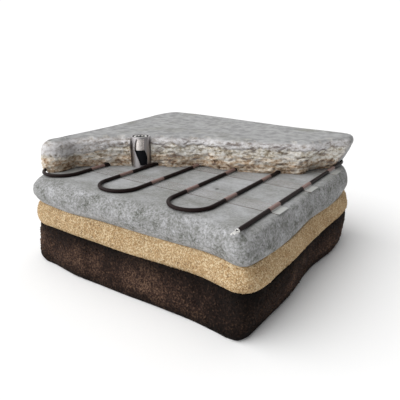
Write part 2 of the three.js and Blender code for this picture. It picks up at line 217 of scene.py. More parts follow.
def fractal(points: np.ndarray, size: tuple[float, float, float], octaves: int, seed: int) -> np.ndarray:
    """Sample layered Perlin noise, with its own feature size along each axis.

    Args:
        points: Rows of x, y and z in millimetres.
        size: Feature size along x, y and z in millimetres.
        octaves: Number of layers, each half as large as the last.
        seed: Shifts the pattern.

    Returns:
        One value for each point, mostly between -1 and 1.
    """
    shift = Vector((17.3, 5.9, 11.1)) * seed
    scaled = points / np.array(size)
    return np.array([noise.fractal(Vector(p) + shift, 0.9, 2.0, octaves) for p in scaled])


def mesh_object(name: str, points: np.ndarray, faces: list, smooth: bool = True,
                edges: list | None = None) -> bpy.types.Object:
    """Make an object from points in millimetres.

    Args:
        name: The object's name.
        points: Rows of x, y and z in millimetres, in the part's frame.
        faces: Lists of point numbers, seen counter-clockwise from outside.
        smooth: Whether the faces are shaded smooth.
        edges: Pairs of point numbers, for a mesh that is only a line.

    Returns:
        The new object at the origin.
    """
    mesh = bpy.data.meshes.new(name)
    mesh.from_pydata((np.asarray(points) * MM).tolist(), edges or [], faces)
    mesh.polygons.foreach_set("use_smooth", [smooth] * len(mesh.polygons))
    mesh.update()
    thing = bpy.data.objects.new(name, mesh)
    bpy.context.collection.objects.link(thing)
    return thing


def store(thing: bpy.types.Object, name: str, values: np.ndarray) -> None:
    """Keep one number for each point of a mesh as an attribute."""
    attribute = thing.data.attributes.new(name, "FLOAT", "POINT")
    attribute.data.foreach_set("value", np.asarray(values, np.float32))


def loft(rings: list[np.ndarray]) -> tuple[np.ndarray, list]:
    """Join rings of equal length by quads, and close both ends with a face.

    Args:
        rings: Rings from the bottom up, each counter-clockwise from above.

    Returns:
        All points, and the faces.
    """
    count = len(rings[0])
    faces = []
    for level in range(len(rings) - 1):
        base = level * count
        for i in range(count):
            j = (i + 1) % count
            faces.append((base + i, base + j, base + count + j, base + count + i))
    top = (len(rings) - 1) * count
    faces.append(tuple(range(count - 1, -1, -1)))
    faces.append(tuple(range(top, top + count)))
    return np.concatenate(rings), faces


def settle(thing: bpy.types.Object) -> bpy.types.Object:
    """Turn an object with modifiers into a plain mesh object of the same name.

    Args:
        thing: The object. It is used up.

    Returns:
        The plain object.
    """
    depsgraph = bpy.context.evaluated_depsgraph_get()
    mesh = bpy.data.meshes.new_from_object(thing.evaluated_get(depsgraph), depsgraph=depsgraph)
    name = thing.name
    bpy.data.objects.remove(thing)
    settled = bpy.data.objects.new(name, mesh)
    bpy.context.collection.objects.link(settled)
    return settled


def sharpen(thing: bpy.types.Object, degrees: float = 35.0) -> bpy.types.Object:
    """Shade smooth, with hard edges where faces meet at more than an angle.

    Args:
        thing: The object to shade.
        degrees: The angle.

    Returns:
        The same object.
    """
    thing.data.polygons.foreach_set("use_smooth", [True] * len(thing.data.polygons))
    thing.data.set_sharp_from_angle(angle=math.radians(degrees))
    return thing


def lathe(name: str, profile: list[tuple[float, float]], sides: int) -> bpy.types.Object:
    """Turn a profile around the upright axis.

    Args:
        name: The object's name.
        profile: Radius and height pairs, up the outside. One that starts off the axis is a closed loop.
        sides: Number of flat sides around.

    Returns:
        The turned object, its axis through the origin.
    """
    angles = np.arange(sides) * 2 * math.pi / sides
    points, rows = [], []
    for radius, height in profile:
        if radius == 0:
            rows.append([len(points)] * sides)
            points.append((0, 0, height))
        else:
            rows.append([len(points) + k for k in range(sides)])
            points += [(radius * math.cos(a), radius * math.sin(a), height) for a in angles]
    pairs = list(zip(rows, rows[1:]))
    if profile[0][0] > 0:
        pairs.append((rows[-1], rows[0]))
    faces = []
    for low, high in pairs:
        for i in range(sides):
            j = (i + 1) % sides
            faces.append(list(dict.fromkeys((low[i], low[j], high[j], high[i]))))
    return mesh_object(name, np.array(points, float), faces)


def smooth_line(points: np.ndarray, count: int) -> np.ndarray:
    """Sample an open Catmull-Rom curve through points.

    Args:
        points: Rows of two coordinates.
        count: How many samples the curve gets.

    Returns:
        The samples, in the same form.
    """
    padded = np.concatenate([2 * points[:1] - points[1:2], points, 2 * points[-1:] - points[-2:-1]])
    place_along = np.linspace(0, len(points) - 1, count)
    first = np.minimum(place_along.astype(int), len(points) - 2)
    t = (place_along - first)[:, None]
    p0, p1, p2, p3 = (padded[first + k] for k in range(4))
    square = (2 * p0 - 5 * p1 + 4 * p2 - p3) * t ** 2
    cube = (3 * p1 - p0 - 3 * p2 + p3) * t ** 3
    return 0.5 * (2 * p1 + (p2 - p0) * t + square + cube)


def edge_wave(samples: int, phase: float) -> np.ndarray:
    """Give a slow, uneven wave around an outline.

    Args:
        samples: How many samples the outline has.
        phase: Shifts the wave, so that it changes with the height.

    Returns:
        One value from -1 to 1 for each sample.
    """
    step = np.arange(samples) * 96 / samples
    return np.sin(phase + step * 0.42) * np.sin(1.7 * phase + step * 0.13)


def carve(thing: bpy.types.Object, cutters: list[bpy.types.Object]) -> bpy.types.Object:
    """Cut closed shapes out of a closed body.

    Args:
        thing: The body. It is used up.
        cutters: Closed shapes to take away. They are used up.

    Returns:
        The carved body as a plain mesh object.
    """
    for cutter in cutters:
        modifier = thing.modifiers.new("cut", "BOOLEAN")
        modifier.operation = "DIFFERENCE"
        modifier.solver = "MANIFOLD"
        modifier.object = cutter
    carved = settle(thing)
    for cutter in cutters:
        bpy.data.objects.remove(cutter)
    return carved


class Slot(Enum):
    """The record's material slots."""

    SOIL = "soil"
    SAND = "sand"
    CONCRETE = "concrete"
    PAVING_STONE = "paving_stone"
    CABLE_JACKET = "cable_jacket"
    TINNED_WIRE = "tinned_wire"
    TAPE_FILM = "tape_film"
    BRIGHT_METAL = "bright_metal"
    POLISHED_METAL = "polished_metal"
    BLACK_PLASTIC = "black_plastic"
    BLACK_RUBBER = "black_rubber"
    PALE_INSULATOR = "pale_insulator"


def place(piece: bpy.types.Object, material: bpy.types.Material, slot: Slot, *nodes: str) -> None:
    """Dress a finished piece and let it stand for its CAD nodes.

    Args:
        piece: The finished object.
        material: Its material, unless it already has some.
        slot: The record's slot for its finish; not used.
        nodes: The CAD nodes that it replaces.
    """
    if not any(piece.data.materials):
        piece.data.materials.clear()
        piece.data.materials.append(material)
    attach(piece, "root")
    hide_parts(*nodes)
    LOG.info("%s: %d faces", piece.name, len(piece.data.polygons))


@dataclass(frozen=True)
class Finish:
    """A finish, named for the real material. Sizes are in millimetres, colours are sRGB hex."""

    name: str
    roughness: float = 0.5
    metallic: float = 0.0
    specular: float = 0.5

    def looks(self, add: AddNode, spot: bpy.types.NodeSocket) -> dict:
        """Give the shader's inputs, here none past the plain ones.

        Args:
            add: Adds a node to the material's tree.
            spot: The object coordinates.

        Returns:
            A value or a node by the shader input's name.
        """
        return {}

    def build(self) -> bpy.types.Material:
        """Make the finished material.

        Returns:
            The material, its shader fed by what looks gives.
        """
        material = bpy.data.materials.new(self.name)
        material.use_nodes = True
        material.node_tree.nodes.clear()
        add = partial(add_node, material.node_tree)
        plain = {"Roughness": self.roughness, "Metallic": self.metallic, "Specular IOR Level": self.specular}
        spot = add("ShaderNodeTexCoord").outputs["Object"]
        shader = add("ShaderNodeBsdfPrincipled", {**plain, **self.looks(add, spot)})
        add("ShaderNodeOutputMaterial", {"Surface": shader})
        return material


@dataclass(frozen=True)
class DampTopsoil(Finish):
    """Dug topsoil, damp and packed: nearly black crumbs with a few lighter dry ones, no shine."""

    crumb: float = 3.0
    height: float = 76.0

    def looks(self, add: AddNode, spot: bpy.types.NodeSocket) -> dict:
        """Colour the crumbs, with painted shade at the layer's foot, at its top under the sand and at the
        near corner.

        Args:
            add: Adds a node to the material's tree.
            spot: The object coordinates.

        Returns:
            The shader's inputs by name.
        """
        fine, broad = (
            add("ShaderNodeTexNoise", {"Vector": spot, "Scale": 1 / (size * MM), "Detail": detail})
            for size, detail in ((self.crumb, 5.0), (45, 3.0))
        )
        tone = add("ShaderNodeAttribute", attribute_name="tone").outputs["Fac"]
        toned = add("ShaderNodeMath", {0: tone, 1: 0.16, 2: fine}, operation="MULTIPLY_ADD")
        total = add("ShaderNodeMath", {0: broad, 1: 0.5, 2: toned}, operation="MULTIPLY_ADD")
        colour = add("ShaderNodeValToRGB", {"Fac": total}, stops=(
            (0.5, "150E0C"), (0.7, "2A1E19"), (0.84, "44322A"), (0.96, "6B5444"),
        ))
        across, along, up = add("ShaderNodeSeparateXYZ", {"Vector": spot}).outputs
        share = add("ShaderNodeMapRange", {"Value": up, "From Max": self.height * MM})
        # Painted shade: darker at the layer's foot and at its top, under the sand
        foot_and_top_shade = add("ShaderNodeValToRGB", {"Fac": share}, stops=(
            (0.0, "6C6C6C"), (0.32, "FFFFFF"), (0.62, "F4F4F4"), (0.95, "7A7A7A"),
        ))
        # Painted shadow: darker toward the near corner
        corner = add("ShaderNodeMath", {0: across, 1: along}, operation="SUBTRACT")
        shadow = add("ShaderNodeMapRange", {
            "Value": corner, "From Min": 380 * MM, "From Max": 500 * MM, "To Min": 1.0, "To Max": 0.35,
        })
        for shade in (foot_and_top_shade, shadow):
            colour = add("ShaderNodeMix", {"Factor": 1.0, "A": colour, "B": shade}, **MULTIPLIED)
        bump = add("ShaderNodeBump", {"Height": fine, "Strength": 0.6, "Distance": 0.8 * MM})
        return {"Base Color": colour, "Normal": bump}


@dataclass(frozen=True)
class BuildersSand(Finish):
    """Coarse quartz sand: tan grains with some nearly white and some brown, matte all over."""

    grain: float = 1.8

    def looks(self, add: AddNode, spot: bpy.types.NodeSocket) -> dict:
        """Give each grain its own shade and a rounded top.

        Args:
            add: Adds a node to the material's tree.
            spot: The object coordinates.

        Returns:
            The shader's inputs by name.
        """
        cells = add("ShaderNodeTexVoronoi", {"Vector": spot, "Scale": 1 / (self.grain * MM)})
        shade = add("ShaderNodeSeparateColor", {"Color": cells.outputs["Color"]})
        tone = add("ShaderNodeAttribute", attribute_name="tone").outputs["Fac"]
        added = add("ShaderNodeMath", {0: tone, 1: shade}, operation="ADD")
        wrapped = add("ShaderNodeMath", {0: added}, operation="FRACT")
        broad = add("ShaderNodeTexNoise", {"Vector": spot, "Scale": 1 / (35 * MM), "Detail": 3.0})
        total = add("ShaderNodeMath", {0: broad, 1: 0.6, 2: wrapped}, operation="MULTIPLY_ADD")
        # The last step is sudden, so that the palest grains stand out
        colour = add("ShaderNodeValToRGB", {"Fac": total}, stops=(
            (0.28, "7C6348"), (0.4, "A58860"), (0.8, "B69872"), (1.0, "C2A780"), (1.0, "D2BE9C"),
        ))
        bump = add("ShaderNodeBump", {"Height": cells, "Strength": 0.7, "Distance": 0.7 * MM}, invert=True)
        return {"Base Color": colour, "Normal": bump}


@dataclass(frozen=True)
class WeatheredConcrete(Finish):
    """Cast concrete left outdoors: bluish grey with pale bloom, dark pores and greenish dirt at its edges."""

    pore: float = 2.8
    pit: tuple[float, float, float] = (0.0, 0.0, 0.0)

    def looks(self, add: AddNode, spot: bpy.types.NodeSocket) -> dict:
        """Colour the calm top and the coarser sides, with streaks, pores, dirt and painted shade for one
        chipped pit, whose hollow is not modelled.

        Args:
            add: Adds a node to the material's tree.
            spot: The object coordinates.

        Returns:
            The shader's inputs by name.
        """
        grit, mottle, broad, dirt = (
            add("ShaderNodeTexNoise", {
                "Vector": spot, "W": seed, "Scale": 1 / (size * MM), "Detail": detail, "Roughness": 0.74,
            }, noise_dimensions="4D")
            for seed, (size, detail) in enumerate(((self.pore, 5.0), (3.6, 5.0), (60, 5.0), (24, 8.0)))
        )
        rough = add("ShaderNodeAttribute", attribute_name="rough").outputs["Fac"]
        ramps = (
            (mottle, ((0.38, "848482"), (0.5, "9A9A99"), (0.62, "ABABAB"))),
            (mottle, (
                (0.38, "565850"), (0.45, "80817D"), (0.51, "9A9A99"), (0.57, "B0B0B3"), (0.65, "CACACF"),
            )),
            (broad, ((0.4, "83847F"), (0.62, "BFC0C4"))),
            (dirt, ((0.36, "D9D9DE"), (0.46, "A6A6A7"), (0.6, "8B8C88"))),
        )
        calm, coarse, patches, bloom = (
            add("ShaderNodeValToRGB", {"Fac": pattern}, stops=stops) for pattern, stops in ramps
        )
        body = add("ShaderNodeMix", {"Factor": rough, "A": calm, "B": coarse}, **BLENDED)
        patches = add("ShaderNodeMix", {"Factor": rough, "A": patches, "B": bloom}, **BLENDED)
        base = add("ShaderNodeMix", {"Factor": 0.45, "A": body, "B": patches}, **BLENDED)
        stretch = (1 / (60 * MM), 1 / (14 * MM), 1 / (20 * MM))
        drawn = add("ShaderNodeMapping", {"Vector": spot, "Scale": stretch})
        strokes = add("ShaderNodeTexNoise", {"Vector": drawn, "Scale": 1.0, "Detail": 5.0, "Roughness": 0.6})
        wear = add("ShaderNodeValToRGB", {"Fac": strokes}, stops=(
            (0.36, "D2D2CE"), (0.5, "F6F6F6"), (0.62, "FFFFFF"),
        ))
        base = add("ShaderNodeMix", {"Factor": 0.45, "A": base, "B": wear}, **MULTIPLIED)
        pores = add("ShaderNodeValToRGB", {"Fac": grit}, stops=((0.33, "4C4D49"), (0.45, "FFFFFF")))
        depth = add("ShaderNodeMath", {0: rough, 1: 0.6, 2: 0.15}, operation="MULTIPLY_ADD")
        speckled = add("ShaderNodeMix", {"Factor": depth, "A": base, "B": pores}, **MULTIPLIED)
        stain = add("ShaderNodeMapRange", {"Value": dirt, "From Min": 0.52, "From Max": 0.62, "To Max": 0.85})
        specks = add("ShaderNodeMapRange", {"Value": mottle, "From Min": 0.58, "From Max": 0.44})
        edges = add("ShaderNodeMath", {0: rough, 1: stain}, operation="MULTIPLY")
        stained = add("ShaderNodeMath", {0: edges, 1: specks}, operation="MULTIPLY")
        dirty = add("ShaderNodeMix", {"Factor": stained, "A": speckled, "B": linear("4E5048")}, **BLENDED)
        # Painted shade for one chipped pit: a near-black patch with a ragged rim on the flat top
        from_pit = add("ShaderNodeVectorMath", {0: spot, 1: self.pit}, operation="DISTANCE")
        ragged = add("ShaderNodeMath", {0: grit, 1: 6 * MM, 2: from_pit}, operation="MULTIPLY_ADD")
        pit_shade = add("ShaderNodeMapRange", {
            "Value": ragged, "From Min": 8 * MM, "From Max": 5 * MM, "To Max": 0.85,
        })
        colour = add("ShaderNodeMix", {"Factor": pit_shade, "A": dirty, "B": linear("2E2A28")}, **BLENDED)
        height = add("ShaderNodeMath", {0: grit, 1: mottle}, operation="ADD")
        strength = add("ShaderNodeMath", {0: rough, 1: 0.6, 2: 0.12}, operation="MULTIPLY_ADD")
        bump = add("ShaderNodeBump", {"Height": height, "Strength": strength, "Distance": 1.0 * MM})
        return {"Base Color": colour, "Normal": bump}


@dataclass(frozen=True)
class BrokenPaving(Finish):
    """Paving concrete: a grey weathered skin, and where it broke, layered cream and brown aggregate."""

    chip: float = 5.0

    def looks(self, add: AddNode, spot: bpy.types.NodeSocket) -> dict:
        """Colour the skin, its pale rind on the face, and the aggregate under it, with a dark line between
        them that is painted shadow under the skin's ledge and partly a crack, and dark blotches on the face.

        Args:
            add: Adds a node to the material's tree.
            spot: The object coordinates.

        Returns:
            The shader's inputs by name.
        """
        broken, face, level = (
            add("ShaderNodeAttribute", attribute_name=name).outputs["Fac"]
            for name in ("broken", "face", "level")
        )
        widths_and_heights = ((16, 16), (self.chip * 1.2, self.chip), (45, 12), (26, 7), (80, 80), (24, 9))
        mottle, chips, bands, streak, moss, clumps = (
            add("ShaderNodeTexNoise", {
                "W": seed, "Scale": 1.0, "Detail": 5.0, "Roughness": 0.62,
                "Vector": add("ShaderNodeMapping", {
                    "Vector": spot, "Scale": (1 / (wide * MM), 1 / (wide * MM), 1 / (tall * MM)),
                }),
            }, noise_dimensions="4D")
            for seed, (wide, tall) in enumerate(widths_and_heights)
        )
        skin = add("ShaderNodeValToRGB", {"Fac": mottle}, stops=(
            (0.38, "8C8C8C"), (0.5, "9D9D9D"), (0.62, "ADADAD"),
        ))
        mossy = add("ShaderNodeMapRange", {"Value": moss, "From Min": 0.52, "From Max": 0.7, "To Max": 0.4})
        skin = add("ShaderNodeMix", {"Factor": mossy, "A": skin, "B": linear("7C7B6B")}, **BLENDED)
        halved = add("ShaderNodeMath", {0: clumps, 1: 0.5}, operation="MULTIPLY")
        shade = add("ShaderNodeMath", {0: chips, 1: 0.5, 2: halved}, operation="MULTIPLY_ADD")
        rind, pale, brown = (
            add("ShaderNodeValToRGB", {"Fac": shade}, stops=stops) for stops in (
                ((0.4, "8F8378"), (0.46, "BDB8B5"), (0.51, "D3D0D1"), (0.58, "E6E4E5")),
                ((0.38, "756859"), (0.43, "ABA08D"), (0.48, "CEC7BB"), (0.53, "E1DDD6"), (0.62, "F0EEEA")),
                ((0.38, "5A483B"), (0.43, "967C65"), (0.48, "BFA78D"), (0.53, "D6C9B7"), (0.62, "ECE6DC")),
            )
        )
        bare = add("ShaderNodeMath", {0: face, 1: 0.75}, operation="MULTIPLY")
        skin = add("ShaderNodeMix", {"Factor": bare, "A": skin, "B": rind}, **BLENDED)
        warped = add("ShaderNodeMath", {0: bands, 1: 1.6, 2: level}, operation="MULTIPLY_ADD")
        upper = add("ShaderNodeMapRange", {"Value": warped, "From Min": 1.08, "From Max": 1.3})
        aggregate = add("ShaderNodeMix", {"Factor": upper, "A": brown, "B": pale}, **BLENDED)
        colour = add("ShaderNodeMix", {"Factor": broken, "A": skin, "B": aggregate}, **BLENDED)
        # Painted shadow under the skin's ledge, partly a crack: a dark line where skin meets aggregate,
        # joined by dark blotches
        centred = add("ShaderNodeMath", {0: broken, 1: 0.5}, operation="SUBTRACT")
        from_border = add("ShaderNodeMath", {0: centred}, operation="ABSOLUTE")
        ledge_shadow = add("ShaderNodeMapRange", {"Value": from_border, "From Min": 0.5, "From Max": 0.0})
        blotch = add("ShaderNodeMapRange", {"Value": streak, "From Min": 0.47, "From Max": 0.39})
        both = add("ShaderNodeMath", {0: ledge_shadow, 1: 0.7, 2: blotch}, operation="MULTIPLY_ADD", use_clamp=True)
        ledge_shadow_and_blotches = add("ShaderNodeMath", {0: both, 1: face}, operation="MULTIPLY")
        # The painted shadow line and the blotches are weaker toward the left
        across = add("ShaderNodeSeparateXYZ", {"Vector": spot}).outputs["X"]
        stronger_to_right = add("ShaderNodeMapRange", {
            "Value": across, "From Min": -220 * MM, "From Max": -90 * MM, "To Min": 0.2, "To Max": 0.75,
        })
        ledge_shadow_and_blotches = add("ShaderNodeMath", {0: ledge_shadow_and_blotches, 1: stronger_to_right}, operation="MULTIPLY")
        colour = add("ShaderNodeMix", {"Factor": ledge_shadow_and_blotches, "A": colour, "B": linear("5F5350")}, **BLENDED)
        strength = add("ShaderNodeMath", {0: broken, 1: 0.7, 2: 0.12}, operation="MULTIPLY_ADD")
        bump = add("ShaderNodeBump", {"Height": shade, "Strength": strength, "Distance": 1.2 * MM})
        return {"Base Color": colour, "Normal": bump}


@dataclass(frozen=True)
class Moulded(Finish):
    """Moulded or extruded plastic, rubber and film: one colour with a faint uneven grain."""

    colour: str = "202020"
    grain: float = 1.5
    grain_depth: float = 0.15
    alpha: float = 1.0

    def looks(self, add: AddNode, spot: bpy.types.NodeSocket) -> dict:
        """Vary the one colour a little, with bumps as fine as the grain.

        Args:
            add: Adds a node to the material's tree.
            spot: The object coordinates.

        Returns:
            The shader's inputs by name.
        """
        grain = add("ShaderNodeTexNoise", {"Vector": spot, "Scale": 1 / (self.grain * MM), "Detail": 3.0})
        shade = add("ShaderNodeMapRange", {
            "Value": grain, "To Min": 1 - self.grain_depth, "To Max": 1 + self.grain_depth,
        })
        colour = add("ShaderNodeMix", {"Factor": 1.0, "A": linear(self.colour), "B": shade}, **MULTIPLIED)
        bump = add("ShaderNodeBump", {"Height": grain, "Strength": 0.2, "Distance": 0.1 * MM})
        return {"Base Color": colour, "Normal": bump, "Alpha": self.alpha}


@dataclass(frozen=True)
class TurnedMetal(Finish):
    """Turned metal: fine rings around its upright axis, which draw its highlights out lengthways."""

    colour: str = "C0C0C0"
    ring: float = 0.5
    depth: float = 0.1
    drawn_out: float = 0.0

    def looks(self, add: AddNode, spot: bpy.types.NodeSocket) -> dict:
        """Vary the colour and the roughness from ring to ring.

        Args:
            add: Adds a node to the material's tree.
            spot: The object coordinates.

        Returns:
            The shader's inputs by name.
        """
        stretched = add("ShaderNodeMapping", {"Vector": spot, "Scale": (20, 20, 1 / (self.ring * MM))})
        rings = add("ShaderNodeTexNoise", {"Vector": stretched, "Scale": 1.0, "Detail": 2.0})
        shade = add("ShaderNodeMapRange", {"Value": rings, "To Min": 1 - self.depth, "To Max": 1.0})
        colour = add("ShaderNodeMix", {"Factor": 1.0, "A": linear(self.colour), "B": shade}, **MULTIPLIED)
        spread = add("ShaderNodeMapRange", {
            "Value": rings, "To Min": self.roughness * 0.8, "To Max": self.roughness * 1.2,
        })
        around = add("ShaderNodeTangent", direction_type="RADIAL", axis="Z")
        return {"Base Color": colour, "Roughness": spread, "Tangent": around,
                "Anisotropic": self.drawn_out, "Anisotropic Rotation": 0.25}


def new_tree(name: str, sizes: tuple, count: str = "") -> tuple[AddNode, bpy.types.NodeOutputs]:
    """Start a geometry tree with named inputs.

    Args:
        name: The tree's name.
        sizes: Names of its inputs that take a float.
        count: Name of the input that takes a whole number, if it has one.

    Returns:
        What adds a node to the tree, and the outputs of its input node.
    """
    tree = bpy.data.node_groups.new(name, "GeometryNodeTree")
    sockets = [("Geometry", "NodeSocketGeometry"), *((size, "NodeSocketFloat") for size in sizes)]
    if count:
        sockets.append((count, "NodeSocketInt"))
    for key, kind in sockets:
        tree.interface.new_socket(key, in_out="INPUT", socket_type=kind)
    tree.interface.new_socket("Geometry", in_out="OUTPUT", socket_type="NodeSocketGeometry")
    add = partial(add_node, tree)
    return add, add("NodeGroupInput").outputs


def finish_tree(add: AddNode, geometry: bpy.types.Node, material: bpy.types.Material) -> bpy.types.NodeTree:
    """End a geometry tree in real geometry of one material.

    Args:
        add: Adds a node to the tree.
        geometry: The node that gives the shape.
        material: The shape's finish.

    Returns:
        The whole tree.
    """
    real = add("GeometryNodeRealizeInstances", {"Geometry": geometry})
    dressed = add("GeometryNodeSetMaterial", {"Geometry": real, "Material": material})
    return add("NodeGroupOutput", {"Geometry": dressed}).id_data


def run_tree(thing: bpy.types.Object, tree: bpy.types.NodeTree, values: dict) -> bpy.types.Object:
    """Run a geometry tree on an object and keep its result as a plain mesh object.

    Args:
        thing: The object to work on. It is used up.
        tree: The geometry tree.
        values: The tree's inputs by name.

    Returns:
        A new object of the same name.
    """
    modifier = thing.modifiers.new("shape", "NODES")
    modifier.node_group = tree
    for item in tree.interface.items_tree:
        if item.name in values:
            modifier[item.identifier] = values[item.name]
    return settle(thing)


def grain_tree(material: bpy.types.Material) -> bpy.types.NodeTree:
    """Build the tree that covers the points marked grainy with loose grains.

    Args:
        material: The finish of the body and its grains.

    Returns:
        The tree, with Density, Smallest, Largest and Seed as inputs.
    """
    add, given = new_tree("loose grains", ("Density", "Smallest", "Largest"), "Seed")
    grainy = add("GeometryNodeInputNamedAttribute", {"Name": "grainy"}, data_type="FLOAT")
    density = add("ShaderNodeMath", {0: grainy, 1: given["Density"]}, operation="MULTIPLY")
    points = add("GeometryNodeDistributePointsOnFaces", {
        "Mesh": given["Geometry"], "Density": density, "Seed": given["Seed"],
    })
    grain = add("GeometryNodeMeshIcoSphere", {"Radius": 0.5, "Subdivisions": 1})
    size, squash, turn, tone = (
        add("FunctionNodeRandomValue", {"Min": low, "Max": high, "Seed": given["Seed"]}, data_type=kind)
        for kind, low, high in (
            ("FLOAT", given["Smallest"], given["Largest"]),
            ("FLOAT_VECTOR", (0.6, 0.6, 0.5), (1.3, 1.1, 0.9)),
            ("FLOAT_VECTOR", (0.0, 0.0, 0.0), (6.28, 6.28, 6.28)),
            ("FLOAT", 0.0, 1.0),
        )
    )
    scale = add("ShaderNodeVectorMath", {0: squash, "Scale": size}, operation="SCALE")
    grains = add("GeometryNodeInstanceOnPoints", {
        "Points": points, "Instance": grain, "Scale": scale, "Rotation": turn,
    })
    toned = add("GeometryNodeStoreNamedAttribute", {"Geometry": grains, "Name": "tone", "Value": tone},
                data_type="FLOAT", domain="INSTANCE")
    joined = add("GeometryNodeJoinGeometry", {"Geometry": toned})
    joined.id_data.links.new(given["Geometry"], joined.inputs["Geometry"])
    return finish_tree(add, joined, material)


def weather_tree(material: bpy.types.Material) -> bpy.types.NodeTree:
    """Build the tree that moves the points marked rough in and out along their normals.

    Args:
        material: The body's finish.

    Returns:
        The tree, with the height and size of coarse and fine lumps as inputs, in metres.
    """
    layers = ("Coarse", "Fine")
    names = tuple(f"{layer} {measure}" for layer in layers for measure in ("Height", "Size"))
    add, given = new_tree("weathered face", names)
    here = add("GeometryNodeInputPosition")
    rough = add("GeometryNodeInputNamedAttribute", {"Name": "rough"}, data_type="FLOAT")
    moves = []
    for layer in layers:
        per_size = add("ShaderNodeMath", {0: 1.0, 1: given[f"{layer} Size"]}, operation="DIVIDE")
        lumps = add("ShaderNodeTexNoise", {"Vector": here, "Scale": per_size, "Detail": 3.0})
        centred = add("ShaderNodeMath", {0: lumps, 1: 0.5}, operation="SUBTRACT")
        moves.append(add("ShaderNodeMath", {0: centred, 1: given[f"{layer} Height"]}, operation="MULTIPLY"))
    both = add("ShaderNodeMath", dict(enumerate(moves)), operation="ADD")
    amount = add("ShaderNodeMath", {0: both, 1: rough}, operation="MULTIPLY")
    normal = add("GeometryNodeInputNormal")
    offset = add("ShaderNodeVectorMath", {0: normal, "Scale": amount}, operation="SCALE")
    moved = add("GeometryNodeSetPosition", {"Geometry": given["Geometry"], "Offset": offset})
    return finish_tree(add, moved, material)


@dataclass
class Block:
    """The cutaway block's main sizes in millimetres, and where its plan's middle lies in the part's frame."""

    width: float = 530.0
    depth: float = 520.0
    soil: float = 76.0
    sand: float = 40.0
    slab: float = 50.0
    paving: float = 64.0
    shift: np.ndarray = field(default_factory=lambda: np.zeros(2))

    @property
    def mat_floor(self) -> float:
        """Height of the concrete slab's top, which carries the mat."""
        return self.soil + self.sand + self.slab

    @property
    def top(self) -> float:
        """Height of the paving slab's top."""
        return self.mat_floor + self.paving


@dataclass
class GroundLayer:
    """One layer of the block, with a profile that bulges between its foot and its top."""

    block: Block
    name: str
    node: str
    slot: Slot
    floor: float
    height: float
    profile: tuple
    wave_phase: float
    # Height and size of the coarse lumps, then of the fine ones
    lumps: tuple[float, float, float, float]
    grains: dict = field(default_factory=dict)
    samples: int = 640
    levels: int = 24
    top_rings: int = 2
    top_reach: float = 0.94
    wave: float = 2.5
    clean_foot: float = 4.0

    def ring(self, share: float) -> np.ndarray:
        """Give the outline at a share of the layer's height, in the part's frame.

        Args:
            share: Place between the foot, 0, and the top, 1.

        Returns:
            Rows of x, y and z in millimetres.
        """
        block = self.block
        outline = smooth_plan(BLOCK_PLAN, self.samples, block.width, block.depth)
        rows = np.array(self.profile)
        window = min(0.05, share, 1 - share)
        near = share + np.linspace(-window, window, 5)
        left, right, front, back = (np.interp(near, rows[:, 0], rows[:, k]).mean() for k in (1, 2, 3, 4))
        sideways = np.where(outline[:, 0] < 0, left, right)
        lengthways = np.where(outline[:, 1] < 0, front, back)
        spread = np.stack([1 + 2 * sideways / block.width, 1 + 2 * lengthways / block.depth], axis=1)
        outline = outline * spread
        wave = self.wave * edge_wave(self.samples, self.wave_phase + share)
        outline = outline + plan_normals(outline) * wave[:, None] + block.shift
        return np.column_stack([outline, np.full(self.samples, self.floor + share * self.height)])

    def body(self) -> bpy.types.Object:
        """Make the layer's mesh, with the attributes rough and grainy on its faces.

        Returns:
            The layer's object, not yet dressed.
        """
        rings = [self.ring(share) for share in np.linspace(0, 1, self.levels + 1)]
        centre = np.array([*self.block.shift, 0])
        for k in range(1, self.top_rings + 1):
            factor = 1 - (1 - self.top_reach) * k / self.top_rings
            rings.append(centre + (rings[self.levels] - centre) * (factor, factor, 1))
        points, faces = loft(rings)
        body = mesh_object(self.name, points, faces)
        level = np.repeat(np.arange(len(rings)), self.samples) / self.levels
        edge = np.clip((1.02 - level) / 0.12, 0, 1) * np.clip(level / 0.08, 0, 1)
        store(body, "rough", edge)
        store(body, "grainy", (edge > 0.02) * np.clip((points[:, 2] - self.clean_foot) / 2, 0, 1))
        return body

    def build(self, material: bpy.types.Material) -> None:
        """Make the layer, roughen its sides, strew its grains and dress it.

        Args:
            material: The layer's finish.
        """
        names = ("Coarse Height", "Coarse Size", "Fine Height", "Fine Size")
        sizes = {name: size * MM for name, size in zip(names, self.lumps)}
        piece = run_tree(self.body(), weather_tree(material), sizes)
        if self.grains:
            piece = run_tree(piece, grain_tree(material), self.grains)
        place(piece, material, self.slot, self.node)


@dataclass
class Ground:
    """The three layers under the mat: topsoil, bedding sand and the cast concrete slab."""

    block: Block

    def build(self, soil: bpy.types.Material, sand: bpy.types.Material, concrete: bpy.types.Material) -> None:
        """Make and dress the layers from the bottom up.

        Args:
            soil: Finish of the topsoil.
            sand: Finish of the bedding sand.
            concrete: Finish of the cast slab.
        """
        block = self.block
        crumbs = {"Density": 38000.0, "Smallest": 1.2 * MM, "Largest": 4 * MM, "Seed": 3}
        grains = {"Density": 78000.0, "Smallest": 1.5 * MM, "Largest": 2.8 * MM, "Seed": 5}
        GroundLayer(block, "topsoil", "soil_base", Slot.SOIL, 0.0, block.soil, SOIL_PROFILE, 0.4,
                    (5, 18, 3, 6), crumbs).build(soil)
        GroundLayer(block, "bedding_sand", "sand_bed", Slot.SAND, block.soil, block.sand, SAND_PROFILE, 2.1,
                    (3, 20, 1.5, 4), grains).build(sand)
        GroundLayer(block, "cast_concrete", "concrete_slab", Slot.CONCRETE, block.soil + block.sand,
                    block.slab, SLAB_PROFILE, 3.6, (4, 24, 2, 5), levels=30, top_rings=3).build(concrete)


@dataclass
class TapeFilms:
    """The looks of one polyester film: flat, tight over a cable, at its near edge, and at its loose end."""

    flat: bpy.types.Material
    wrapped: bpy.types.Material
    edge: bpy.types.Material
    end: bpy.types.Material


